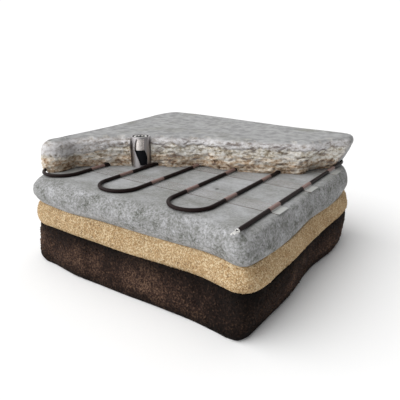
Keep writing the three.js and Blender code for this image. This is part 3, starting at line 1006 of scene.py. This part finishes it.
@dataclass
class HeatingMat:
    """The heating cable laid to and fro, its stripped end, and the tapes that keep its spacing."""

    block: Block
    runs: int = 7
    pitch: float = 80.0
    side_shift: float = -8.0
    front_turn: float = -182.0
    back_turn: float = 192.0
    cable_end: float = -242.0
    diameter: float = 6.8
    clearance: float = 0.3
    tape_pitch: float = 129.0
    first_tape: float = -148.0
    tape_width: float = 35.0
    tapes: int = 3
    film: float = 0.25
    film_lift: float = 0.08
    film_foot: float = 1.3
    film_ramp: float = 3.0
    edge_width: float = 1.3
    overhang: float = 17.5
    screen_diameter: float = 7.0
    screen_wall: float = 0.55
    screen_length: float = 3.0
    core_length: float = 2.0
    conductor_diameter: float = 2.4
    conductor_spacing: float = 2.9
    conductor_lengths: tuple[float, float] = (14.0, 11.0)

    @property
    def axis(self) -> float:
        """Height of the cable's middle line."""
        return self.block.mat_floor + self.clearance + self.diameter / 2

    def run_x(self, run: int) -> float:
        """Give the place of a run across the block, in the part's frame."""
        return self.side_shift + (run - (self.runs - 1) / 2) * self.pitch + self.block.shift[0]

    def tape_fronts(self) -> list[float]:
        """Give the front edge of each tape, in the part's frame."""
        return [self.first_tape + k * self.tape_pitch + self.block.shift[1] for k in range(self.tapes)]

    def route(self, step: float) -> np.ndarray:
        """Sample the cable's middle line.

        Args:
            step: Distance between samples in millimetres.

        Returns:
            Rows of x and y in millimetres, in the part's frame.
        """
        ends = np.array([self.front_turn, self.back_turn, self.cable_end]) + self.block.shift[1]
        front, back, end = ends
        radius = self.pitch / 2
        turn_steps = round(math.pi * radius / step)
        turn = math.pi * np.arange(turn_steps) / turn_steps
        points = []
        for run in range(self.runs):
            x, direction = self.run_x(run), -1 if run % 2 == 0 else 1
            start_y, end_y = (back, front) if direction < 0 else (front, back)
            last = run == self.runs - 1
            end_y = end if last else end_y
            count = round(abs(end_y - start_y) / step)
            points += [(x, y) for y in np.linspace(start_y, end_y, count, endpoint=False)]
            if last:
                points.append((x, end_y))
                break
            reach = direction * radius
            points += [(x + radius * (1 - math.cos(a)), end_y + reach * math.sin(a)) for a in turn]
        return np.array(points)

    def cable_tree(self, material: bpy.types.Material) -> bpy.types.NodeTree:
        """Build the tree that sweeps a round section along the route.

        Args:
            material: The jacket's finish.

        Returns:
            The tree, with Radius and Sides as inputs.
        """
        add, given = new_tree("swept cable", ("Radius",), "Sides")
        line = add("GeometryNodeMeshToCurve", {"Mesh": given["Geometry"]})
        circle = add("GeometryNodeCurvePrimitiveCircle", {
            "Resolution": given["Sides"], "Radius": given["Radius"],
        })
        swept = add("GeometryNodeCurveToMesh", {"Curve": line, "Profile Curve": circle, "Fill Caps": True})
        smooth = add("GeometryNodeSetShadeSmooth", {"Geometry": swept})
        return finish_tree(add, smooth, material)

    def build_cable(self, jacket: bpy.types.Material) -> None:
        """Make the jacketed cable along its whole route.

        Args:
            jacket: The jacket's finish.
        """
        route = self.route(5.0)
        points = np.column_stack([route, np.full(len(route), self.axis)])
        edges = [(k, k + 1) for k in range(len(points) - 1)]
        line = mesh_object("heating_cable_run", points, [], edges=edges)
        cable = run_tree(line, self.cable_tree(jacket), {"Radius": self.diameter / 2 * MM, "Sides": 24})
        place(sharpen(cable, 50), jacket, Slot.CABLE_JACKET, "heating_cable")

    def tape_line(self, level: float, radius: float) -> list[tuple[float, float]]:
        """Give the film's profile across the mat: flat on the slab, and tight over each cable.

        Args:
            level: Height of the flat film.
            radius: Distance of the film from a cable's middle line.

        Returns:
            Pairs of x and z in millimetres.
        """
        foot = radius + self.film_foot
        ends = (self.run_x(0) - self.overhang, self.run_x(self.runs - 1) + self.overhang)
        points = []
        for run in range(self.runs):
            x = self.run_x(run)
            flat = [(x - foot - self.film_ramp, level), (x - foot, level + 0.05)]
            points += flat
            for angle in np.linspace(math.radians(193), math.radians(-13), 17):
                points.append((x + radius * math.cos(angle), self.axis + radius * math.sin(angle)))
            points += [(2 * x - across, up) for across, up in reversed(flat)]
        return [(ends[0], level), *points, (ends[1], level)]

    def build_tape(self, index: int, films: TapeFilms) -> None:
        """Make one tape, with its own finish where it wraps a cable, at its edges and at its end.

        Args:
            index: Which tape, counted from the front.
            films: The film's finishes.
        """
        cable, edge, width = self.diameter / 2, self.edge_width, self.tape_width
        low, high = (
            self.tape_line(self.block.mat_floor + lift, cable + lift)
            for lift in (self.film_lift, self.film_lift + self.film)
        )
        section = low + high[::-1]
        front = self.tape_fronts()[index]
        rings = []
        for station in (0, *np.linspace(edge, width - edge, 7), width):
            wobble = 0.5 * math.sin(index * 2 + station / 5)
            rings.append(np.array([
                (x, front + station + wobble * math.sin(x / 31 + index), z) for x, z in section
            ]))
        tape = mesh_object(f"tape_{index + 1}", *loft(rings))
        finishes = [films.flat, films.wrapped, films.edge, films.end]
        for finish in finishes:
            tape.data.materials.append(finish)
        for face in tape.data.polygons:
            across = face.center.x / MM
            look = films.flat
            if any(abs(across - self.run_x(run)) < cable + 0.6 for run in range(self.runs)):
                look = films.wrapped
            elif face.center.y / MM - front < edge:
                look = films.edge
            elif across > self.run_x(self.runs - 1) + cable or across < self.run_x(0) - cable:
                look = films.end
            face.material_index = finishes.index(look)
        place(sharpen(tape, 50), films.flat, Slot.TAPE_FILM, f"tape_strip_{index + 1}")

    def build_end(self, wire: bpy.types.Material, plastic: bpy.types.Material) -> None:
        """Make the stripped end: the screen's hollow collar, the plug inside it and the two conductors.

        Args:
            wire: Finish of the screen and the conductors.
            plastic: Finish of the plug.
        """
        end = self.cable_end + self.block.shift[1]
        outer, length = self.screen_diameter / 2, self.screen_length
        inner = outer - self.screen_wall
        plug, radius = inner - self.clearance, self.conductor_diameter / 2
        pieces = [
            ("screen_collar", "cable_screen", 48, 0.0, 0.0, [
                (inner, 0.0), (outer - 0.15, 0.0), (outer, 0.15), (outer, length - 0.2),
                (outer - 0.2, length), (inner, length),
            ]),
            ("core_plug", "cable_core", 40, 0.0, 0.0, [
                (0.0, 0.0), (plug, 0.0), (plug, self.core_length), (0.0, self.core_length),
            ]),
        ]
        for k, bare in enumerate(self.conductor_lengths):
            rod = [(0.0, 0.0), (radius, 0.0), (radius, bare - 0.4), (radius - 0.3, bare), (0.0, bare)]
            name, aside = f"conductor_{k + 1}", (k - 0.5) * self.conductor_spacing
            pieces.append((f"bare_{name}", name, 28, aside, -self.core_length, rod))
        for name, node, sides, aside, ahead, profile in pieces:
            piece = lathe(name, profile, sides)
            foot = Vector((self.run_x(self.runs - 1) + aside, end + ahead, self.axis)) * MM
            piece.data.transform(Matrix.Translation(foot) @ Matrix.Rotation(math.pi / 2, 4, "X"))
            finish, slot = (plastic, Slot.BLACK_PLASTIC) if name == "core_plug" else (wire, Slot.TINNED_WIRE)
            place(sharpen(piece, 40), finish, slot, node)

    def build(self, jacket: bpy.types.Material, wire: bpy.types.Material, plastic: bpy.types.Material,
              films: TapeFilms) -> None:
        """Make and dress the whole mat.

        Args:
            jacket: Finish of the cable.
            wire: Finish of the screen and the conductors.
            plastic: Finish of the plug in the screen.
            films: Finishes of the tapes.
        """
        self.build_cable(jacket)
        self.build_end(wire, plastic)
        for index in range(self.tapes):
            self.build_tape(index, films)


@dataclass
class SensorFinishes:
    """The finishes of the sensor's pieces."""

    steel: bpy.types.Material
    polished: bpy.types.Material
    plastic: bpy.types.Material
    rubber: bpy.types.Material
    insulator: bpy.types.Material


@dataclass
class SnowSensor:
    """The round snow and moisture sensor, set into the paving's broken edge and cut open at the front."""

    block: Block
    diameter: float = 39.0
    wall: float = 2.6
    clearance: float = 0.3
    sides: int = 128
    facing: float = math.radians(42.7)
    sleeve_length: float = 25.0
    sleeve_wall: float = 2.4
    seal_height: float = 2.5
    spacer_height: float = 3.4
    cap_diameter: float = 19.8
    contact_diameter: float = 4.4
    contact_spacing: float = 7.0
    contact_height: float = 0.4
    cap_height: float = 3.8
    window_sill: float = 5.5
    window_lintel: float = 3.5
    window_left: tuple = (
        (-0.47, 1), (-0.6, 0.85), (-0.66, 0.7), (-0.68, 0.6), (-0.57, 0.45), (-0.28, 0.16), (-0.14, 0),
    )
    window_right: tuple = ((0.56, 0), (0.62, 0.28), (0.5, 0.46), (0.38, 0.6), (0.36, 0.8), (0.41, 1))

    def place_xy(self) -> tuple[float, float]:
        """Give the axis in the part's frame, from the CAD core's box."""
        low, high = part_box("sensor_core")
        return (low.x + high.x) / 2 / MM, (low.y + high.y) / 2 / MM

    def stand(self, piece: bpy.types.Object) -> bpy.types.Object:
        """Move a turned piece from the origin onto the sensor's axis."""
        piece.data.transform(Matrix.Translation(Vector((*self.place_xy(), self.block.mat_floor)) * MM))
        return piece

    def hole_cutter(self) -> bpy.types.Object:
        """Make the round bar that leaves room for the housing in the paving."""
        radius, low, high = self.diameter / 2 + self.clearance, -5, self.block.paving + 5
        return self.stand(lathe("sensor_hole", [(0, low), (radius, low), (radius, high), (0, high)], 96))

    def window_cutter(self) -> bpy.types.Object:
        """Make the wavy-edged bar that opens the housing at the front.

        Returns:
            The bar, ready to be taken away.
        """
        radius = self.diameter / 2
        rise = self.block.paving - self.window_lintel - self.window_sill
        sides = [smooth_line(np.array(side), 24) for side in (self.window_left, self.window_right)]
        outline = np.concatenate(sides) * (radius, rise) + (0, self.window_sill)
        rings = [np.array([(x, y, z) for x, z in outline]) for y in (0.0, -2 * radius)]
        cutter = mesh_object("window", *loft(rings), False)
        cutter.data.transform(Matrix.Rotation(self.facing, 4, "Z"))
        return cutter

    def build(self, finishes: SensorFinishes) -> None:
        """Make and dress the sensor's pieces, from the housing inward and up.

        Args:
            finishes: The finishes of its pieces.
        """
        outer, inner, top = self.diameter / 2, self.diameter / 2 - self.wall, self.block.paving
        core = inner - self.clearance
        neck = core - self.sleeve_wall - self.clearance
        sleeve_top = top - self.seal_height
        sleeve_foot = sleeve_top - self.sleeve_length
        core_top = top - self.cap_height
        cap = self.cap_diameter / 2
        spacer_top = core_top + self.spacer_height
        pieces = [
            ("sensor_tube", "sensor_housing", finishes.steel, Slot.BRIGHT_METAL, [
                (inner, 0.0), (outer, 0.0), (outer, top - 0.7), (outer - 0.2, top - 0.2), (outer - 0.7, top),
                (inner + 0.5, top), (inner + 0.15, top - 0.15), (inner, top - 0.5),
            ]),
            ("sensor_body", "sensor_core", finishes.plastic, Slot.BLACK_PLASTIC, [
                (0.0, 0.0), (core, 0.0), (core, sleeve_foot - 0.3), (core - 0.3, sleeve_foot),
                (neck, sleeve_foot), (neck, core_top), (0.0, core_top),
            ]),
            ("sensor_liner", "sensor_sleeve", finishes.polished, Slot.POLISHED_METAL, [
                (neck + 0.3, sleeve_foot), (core - 0.4, sleeve_foot), (core, sleeve_foot + 0.5),
                (core, sleeve_top - 4.6), (core - 0.35, sleeve_top - 4.3), (core - 0.35, sleeve_top - 3.7),
                (core, sleeve_top - 3.4), (core, sleeve_top - 0.4), (core - 0.4, sleeve_top),
                (neck + 0.3, sleeve_top),
            ]),
            ("sensor_gasket", "sensor_seal", finishes.rubber, Slot.BLACK_RUBBER, [
                (neck + 0.3, sleeve_top), (core, sleeve_top), (core, top - 0.6), (core - 0.25, top - 0.2),
                (core - 0.6, top - 0.1), (neck + 0.7, top - 0.1), (neck + 0.3, top - 0.5),
            ]),
            ("sensor_washer", "sensor_spacer", finishes.insulator, Slot.PALE_INSULATOR, [
                (cap + 0.3, core_top), (neck, core_top), (neck, spacer_top - 0.5), (neck - 0.5, spacer_top),
                (cap + 0.8, spacer_top), (cap + 0.3, spacer_top - 0.5),
            ]),
            ("sensor_button", "sensor_cap", finishes.plastic, Slot.BLACK_PLASTIC, [
                (0.0, core_top), (cap, core_top), (cap, top - 0.8), (cap - 0.25, top - 0.25),
                (cap - 0.8, top), (0.0, top),
            ]),
        ]
        for name, node, finish, slot, profile in pieces:
            piece = lathe(name, profile, self.sides)
            if node == "sensor_housing":
                piece = carve(piece, [self.window_cutter()])
            place(self.stand(sharpen(piece)), finish, slot, node)
        radius, face = self.contact_diameter / 2, top + self.contact_height
        for k, side in enumerate((-1, 1)):
            contact = lathe(f"moisture_contact_{k + 1}", [
                (0.0, top), (radius, top), (radius, face - 0.15), (radius - 0.2, face), (0.0, face),
            ], 32)
            away = side * self.contact_spacing / 2 * MM
            offset = Vector((away * math.cos(self.facing), away * math.sin(self.facing), 0))
            contact.data.transform(Matrix.Translation(offset))
            node = f"sensor_contact_{k + 1}"
            place(self.stand(sharpen(contact)), finishes.polished, Slot.POLISHED_METAL, node)


@dataclass
class PavingSlab:
    """The broken paving slab: rounded skin above, layered aggregate below, hollow over cable and tapes."""

    block: Block
    mat: HeatingMat
    sensor: SnowSensor
    samples: int = 900
    levels: int = 44
    cap_rings: int = 14
    cap_centre: tuple[float, float] = (-225.0, 78.0)
    cap_drop: float = 0.7
    skin_line: float = 0.75
    left_drop: float = 0.22
    left_from: float = -110.0
    strata_depth: float = 2.4
    lump_depth: float = 1.8
    ledge_depth: float = 1.6
    bite_depth: float = 5.0
    wave: float = 2.5
    face_turn: float = math.radians(35.4)
    recess: float = 19.2
    channel_width: float = 8.6
    channel_height: float = 7.9
    sink: float = 0.6
    # Room beside, before and above each tape
    tape_room: tuple[float, float, float] = (1.0, 0.3, 0.8)

    def outline(self, share: float) -> np.ndarray:
        """Give the outline at a share of the slab's height, before its roughness.

        Args:
            share: Place between the foot, 0, and the top, 1.

        Returns:
            Rows of x and y in millimetres.
        """
        width, depth = self.block.width, self.block.depth
        foot = smooth_plan(PAVING_FOOT_PLAN, self.samples, width, depth)
        top = smooth_plan(PAVING_TOP_PLAN, self.samples, width, depth)
        outline = foot + (top - foot) * share
        rows = np.array(PAVING_PROFILE)
        window = min(0.04, share, 1 - share)
        outward = np.interp(share + np.linspace(-window, window, 5), rows[:, 0], rows[:, 1]).mean()
        wave = self.wave * edge_wave(self.samples, share)
        return outline + plan_normals(outline) * (outward + wave)[:, None]

    def edge_share(self) -> np.ndarray:
        """Tell how far each sample around the outline belongs to the broken front edge.

        Returns:
            One share from 0 to 1 for each sample.
        """
        place_along = np.arange(self.samples) / self.samples * len(PAVING_FOOT_PLAN)
        wrapped = place_along - len(PAVING_FOOT_PLAN)
        place_along = np.where(wrapped > -2, wrapped, place_along)
        begun = np.clip((place_along - BROKEN_FROM) / 1.2, 0, 1)
        return begun * np.clip((BROKEN_TO - place_along) / 0.6, 0, 1)

    def beside_sensor(self, points: np.ndarray) -> np.ndarray:
        """Draw the broken face back to the sensor's axis where the sensor stands in it.

        Args:
            points: Rows of x and y of the face in millimetres.

        Returns:
            The moved rows.
        """
        outward = np.array([math.sin(self.face_turn), -math.cos(self.face_turn)])
        offset = points - np.array(self.sensor.place_xy())
        ahead = offset @ outward
        aside = np.abs(offset @ np.array([-outward[1], outward[0]]))
        limit = -1.0 + 20.0 * np.clip((aside - self.recess) / 2.5, 0, 1) ** 2
        near = (aside < 24.0) & (np.abs(ahead) < 40.0)
        back = np.where(near, np.minimum(ahead, limit) - ahead, 0.0)
        return points + outward * back[:, None]

    def body(self) -> bpy.types.Object:
        """Make the slab before its channels are cut, with the attributes broken, face and level.

        Returns:
            The closed slab.
        """
        edge = self.edge_share()
        flat = self.outline(0.5)
        normals = plan_normals(flat)
        flat_points = np.column_stack([flat, np.zeros(self.samples)])
        line = self.skin_line + 0.1 * fractal(flat_points, (26, 26, 26), 5, 5)
        line -= self.left_drop * np.clip((self.left_from - flat[:, 0]) / 60, 0, 1)
        rings, broken, face = [], [], []
        shares = [*np.linspace(0, 1, self.levels + 1) ** 0.9]
        for share in shares:
            height = self.block.mat_floor + share * self.block.paving
            points = np.column_stack([self.outline(share), np.full(self.samples, height)])
            strata, lumps, calm, chips = (
                fractal(points, size, octaves, seed) for size, octaves, seed in (
                    ((30, 30, 5), 4, 1), ((11, 11, 7), 4, 2), ((60, 60, 22), 3, 3), ((16, 16, 9), 4, 6),
                )
            )
            bare = edge * np.clip((line - share) / 0.06 + 0.5, 0, 1)
            skin = edge * np.clip((share - line) / 0.03, 0, 1)
            ledge = skin * np.clip((0.93 - share) / 0.1, 0, 1)
            bitten = skin * np.clip(chips - 0.25, 0, 1)
            out = bare * (self.strata_depth * strata + self.lump_depth * lumps) + (0.5 + 0.8 * edge) * calm
            out = (out + self.ledge_depth * ledge - self.bite_depth * bitten) * np.clip(share / 0.03, 0.3, 1)
            points[:, :2] += normals * out[:, None] + self.block.shift
            points[:, :2] = self.beside_sensor(points[:, :2])
            rings.append(points)
            broken.append(np.maximum(bare, np.clip(bitten * 4, 0, 0.3)))
            face.append(edge * np.clip((0.97 - share) / 0.06, 0, 1))
        centre = np.array([*(np.array(self.cap_centre) + self.block.shift), 0])
        for k in range(1, self.cap_rings):
            factor = 1 - (k / self.cap_rings) ** 1.3
            ring = centre + (rings[self.levels] - centre) * (factor, factor, 1)
            level = self.block.top - self.cap_drop + self.cap_drop * fractal(ring, (50, 50, 50), 3, 4)
            ring[:, 2] = np.minimum(level, self.block.top)
            rings.append(ring)
            shares.append(1.0)
            broken.append(np.zeros(self.samples))
            face.append(np.zeros(self.samples))
        slab = mesh_object("paving_stone", *loft(rings))
        store(slab, "level", np.repeat(shares, self.samples))
        store(slab, "broken", np.concatenate(broken))
        store(slab, "face", np.concatenate(face))
        return slab

    def channel(self) -> bpy.types.Object:
        """Make the arched bar along the cable's route that leaves room over the cable.

        Returns:
            The bar, ready to be taken away.
        """
        half = self.channel_width / 2
        spring = self.channel_height - half
        turn = np.linspace(0.3, math.pi - 0.3, 9)
        arch = [(-half, -self.sink), (half, -self.sink), (half, spring)]
        arch += [(half * math.cos(angle), spring + half * math.sin(angle)) for angle in turn]
        arch.append((-half, spring))
        route = self.mat.route(6.0)
        along = np.gradient(route, axis=0)
        side = np.stack([along[:, 1], -along[:, 0]], axis=1) / np.linalg.norm(along, axis=1)[:, None]
        floor = self.block.mat_floor
        stations = [
            np.array([(*(spot + aside * across), floor + up) for across, up in arch])
            for spot, aside in zip(route, side)
        ]
        points, faces = loft(stations)
        return mesh_object("cable_channel", points, [face[::-1] for face in faces], False)

    def slot(self, front: float) -> bpy.types.Object:
        """Make the thin box that leaves room over one tape.

        Args:
            front: Place of the tape's near edge in millimetres.

        Returns:
            The box, ready to be taken away.
        """
        aside, along, above = self.tape_room
        mat, floor = self.mat, self.block.mat_floor
        left, right = mat.run_x(0) - mat.overhang - aside, mat.run_x(mat.runs - 1) + mat.overhang + aside
        near, far = front - along, front + mat.tape_width + along
        corners = [(left, near), (right, near), (right, far), (left, far)]
        rings = [np.array([(x, y, z) for x, y in corners]) for z in (floor - self.sink, floor + above)]
        return mesh_object("tape_slot", *loft(rings), False)

    def build(self, stone: bpy.types.Material) -> None:
        """Make the slab, cut its channels and the sensor's hole, and dress it.

        Args:
            stone: The slab's finish.
        """
        cutters = [self.channel(), *map(self.slot, self.mat.tape_fronts()), self.sensor.hole_cutter()]
        slab = carve(self.body(), cutters)
        place(sharpen(slab, 50), stone, Slot.PAVING_STONE, "paving_slab")


@dataclass
class Studio:
    """The floor, the soft lights and the camera at the photograph's angle."""

    shift: np.ndarray
    lens: float = 39.47
    place: tuple[float, float, float] = (506.7, -725.45, 415.69)
    floor_reach: float = 20000.0
    sky: float = 0.88
    right_side: float = 0.15
    azimuth: float = math.radians(34.99)
    elevation: float = math.radians(19.95)

    def set_camera(self) -> None:
        """Make the camera."""
        camera = bpy.data.objects.new("camera", bpy.data.cameras.new("camera"))
        camera.data.lens = self.lens
        camera.data.sensor_width = 36
        camera.location = (Vector(self.place) + Vector((*self.shift, 0))) * MM
        level, up = math.cos(self.elevation), math.sin(self.elevation)
        back = Vector((math.sin(self.azimuth) * level, -math.cos(self.azimuth) * level, up))
        camera.rotation_euler = back.to_track_quat("Z", "Y").to_euler()
        bpy.context.collection.objects.link(camera)
        bpy.context.scene.camera = camera

    def set_room(self) -> None:
        """Make the pale surroundings, which dim toward the top and the right but look plain white."""
        world = bpy.data.worlds.new("pale_room")
        world.use_nodes = True
        world.node_tree.nodes.clear()
        add = partial(add_node, world.node_tree)
        toward = add("ShaderNodeTexCoord").outputs["Generated"]
        across, _, up = add("ShaderNodeSeparateXYZ", {"Vector": toward}).outputs
        above = add("ShaderNodeMapRange", {
            "Value": up, "From Min": 0.12, "From Max": 0.35, "To Min": 1.05, "To Max": self.sky,
        })
        beside = add("ShaderNodeMapRange", {
            "Value": across, "From Max": 0.7, "To Min": 1.0, "To Max": self.right_side,
        })
        shaded = add("ShaderNodeMath", {0: above, 1: beside}, operation="MULTIPLY")
        seen = add("ShaderNodeLightPath").outputs["Is Camera Ray"]
        strength = add("ShaderNodeMath", {0: shaded, 1: seen}, operation="MAXIMUM")
        background = add("ShaderNodeBackground", {"Color": linear("FFFFFF"), "Strength": strength})
        add("ShaderNodeOutputWorld", {"Surface": background})
        bpy.context.scene.world = world

    def set_lights(self) -> None:
        """Make the soft key and front lights."""
        for name, toward, spread, strength in (
            ("key_light", (-0.7, -0.6, 1.0), 70, 1.65), ("front_light", (-0.1, -1.0, 0.35), 60, 0.3),
        ):
            lamp = bpy.data.lights.new(name, "SUN")
            lamp.angle = math.radians(spread)
            lamp.energy = strength
            light = bpy.data.objects.new(name, lamp)
            light.rotation_euler = Vector(toward).to_track_quat("Z", "Y").to_euler()
            bpy.context.collection.objects.link(light)

    def set_floor(self) -> None:
        """Make the plain pale floor, of matte paper."""
        reach = self.floor_reach
        corners = np.array([(-reach, -reach, 0), (reach, -reach, 0), (reach, reach, 0), (-reach, reach, 0)])
        floor = mesh_object("studio_floor", corners, [(0, 1, 2, 3)], False)
        paper = Moulded("studio_paper", 0.9, specular=0.1, colour="FFFFFF", grain=40, grain_depth=0.004)
        floor.data.materials.append(paper.build())

    def build(self) -> None:
        """Make the camera, surroundings, lights and floor."""
        self.set_camera()
        self.set_room()
        self.set_lights()
        self.set_floor()
        bpy.context.scene.view_settings.view_transform = "Standard"


def main() -> None:
    """Load the frame, then build the studio, the ground, the paving, the mat and the sensor in order."""
    logging.basicConfig(level=logging.INFO, format="%(message)s")
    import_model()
    low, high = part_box("heating_cable")
    tape_low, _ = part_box("tape_strip_1")
    plan = HeatingMat(Block())
    shift = np.array([(low.x + high.x) / 2 / MM - plan.side_shift, tape_low.y / MM - plan.first_tape])
    block = Block(shift=shift)
    Studio(shift).build()

    # Dug topsoil: nearly black and without shine
    soil = DampTopsoil("damp_topsoil", 0.95, specular=0.15).build()
    # Washed quartz sand: a tan sparkle of single grains
    sand = BuildersSand("builders_sand", 0.95, specular=0.2).build()
    # Cast concrete: matte grey, with painted shade for one chipped pit in its top
    pit = ((104.1 + shift[0]) * MM, (-97.1 + shift[1]) * MM, block.mat_floor * MM)
    concrete = WeatheredConcrete("cast_concrete", 0.9, specular=0.25, pit=pit).build()
    # Paving concrete: a calm skin over lively aggregate
    stone = BrokenPaving("paving_concrete", 0.85, specular=0.2).build()
    # Extruded vinyl: nearly black brown, a soft sheen along the top of each run
    jacket = Moulded("vinyl_jacket", 0.4, specular=0.08, colour="231918", grain=2.5, grain_depth=0.3).build()
    # Tinned copper: nearly white, dulled by a thin oxide where it was stripped
    wire = TurnedMetal("tinned_copper", 0.45, 0.5, colour="F4F3F0", depth=0.08).build()
    films = TapeFilms(
        # Thin polyester film: nearly clear on the slab, it only greys the concrete a little
        Moulded("polyester_film", 0.25, colour="C6C4C2", grain=12, grain_depth=0.1, alpha=0.15).build(),
        # The same film with its glue drawn tight over a cable, where it looks pinkish brown
        Moulded("stretched_polyester_film", 0.4, colour="8E726B", grain=3, grain_depth=0.2,
                alpha=0.88).build(),
        # Painted shadow along the film's near edge, with some dust held by the glue: a thin dark line
        Moulded("film_edge_shadow_and_dust", 0.7, colour="55564F", grain=9, grain_depth=0.4, alpha=0.6).build(),
        # The film's loose ends, where light passes twice: paler than the concrete
        Moulded("loose_film_end", 0.3, colour="C2C3C0", grain=6, grain_depth=0.08, alpha=0.75).build(),
    )
    # Glass-filled nylon: black with a dull bloom
    plastic = Moulded("glass_filled_nylon", 0.55, specular=0.03, colour="1E1F22", grain=0.8).build()
    finishes = SensorFinishes(
        # Brushed stainless steel: soft upright highlights
        TurnedMetal("brushed_stainless_steel", 0.38, 1.0, colour="BDB9BA", depth=0.12, drawn_out=0.7).build(),
        # Polished nickel: sharp reflections
        TurnedMetal("polished_nickel", 0.28, 1.0, colour="EFE8E4", depth=0.05, drawn_out=0.9).build(),
        plastic,
        # Nitrile rubber: black and matte
        Moulded("nitrile_rubber", 0.8, specular=0.02, colour="121213", grain=0.8).build(),
        # Acetal: off-white with a waxy gloss
        Moulded("acetal", 0.4, colour="D9D8D3", grain=2, grain_depth=0.05).build(),
    )

    Ground(block).build(soil, sand, concrete)
    mat = HeatingMat(block)
    sensor = SnowSensor(block)
    PavingSlab(block, mat, sensor).build(stone)
    mat.build(jacket, wire, plastic, films)
    sensor.build(finishes)


if __name__ == "__main__":
    main()
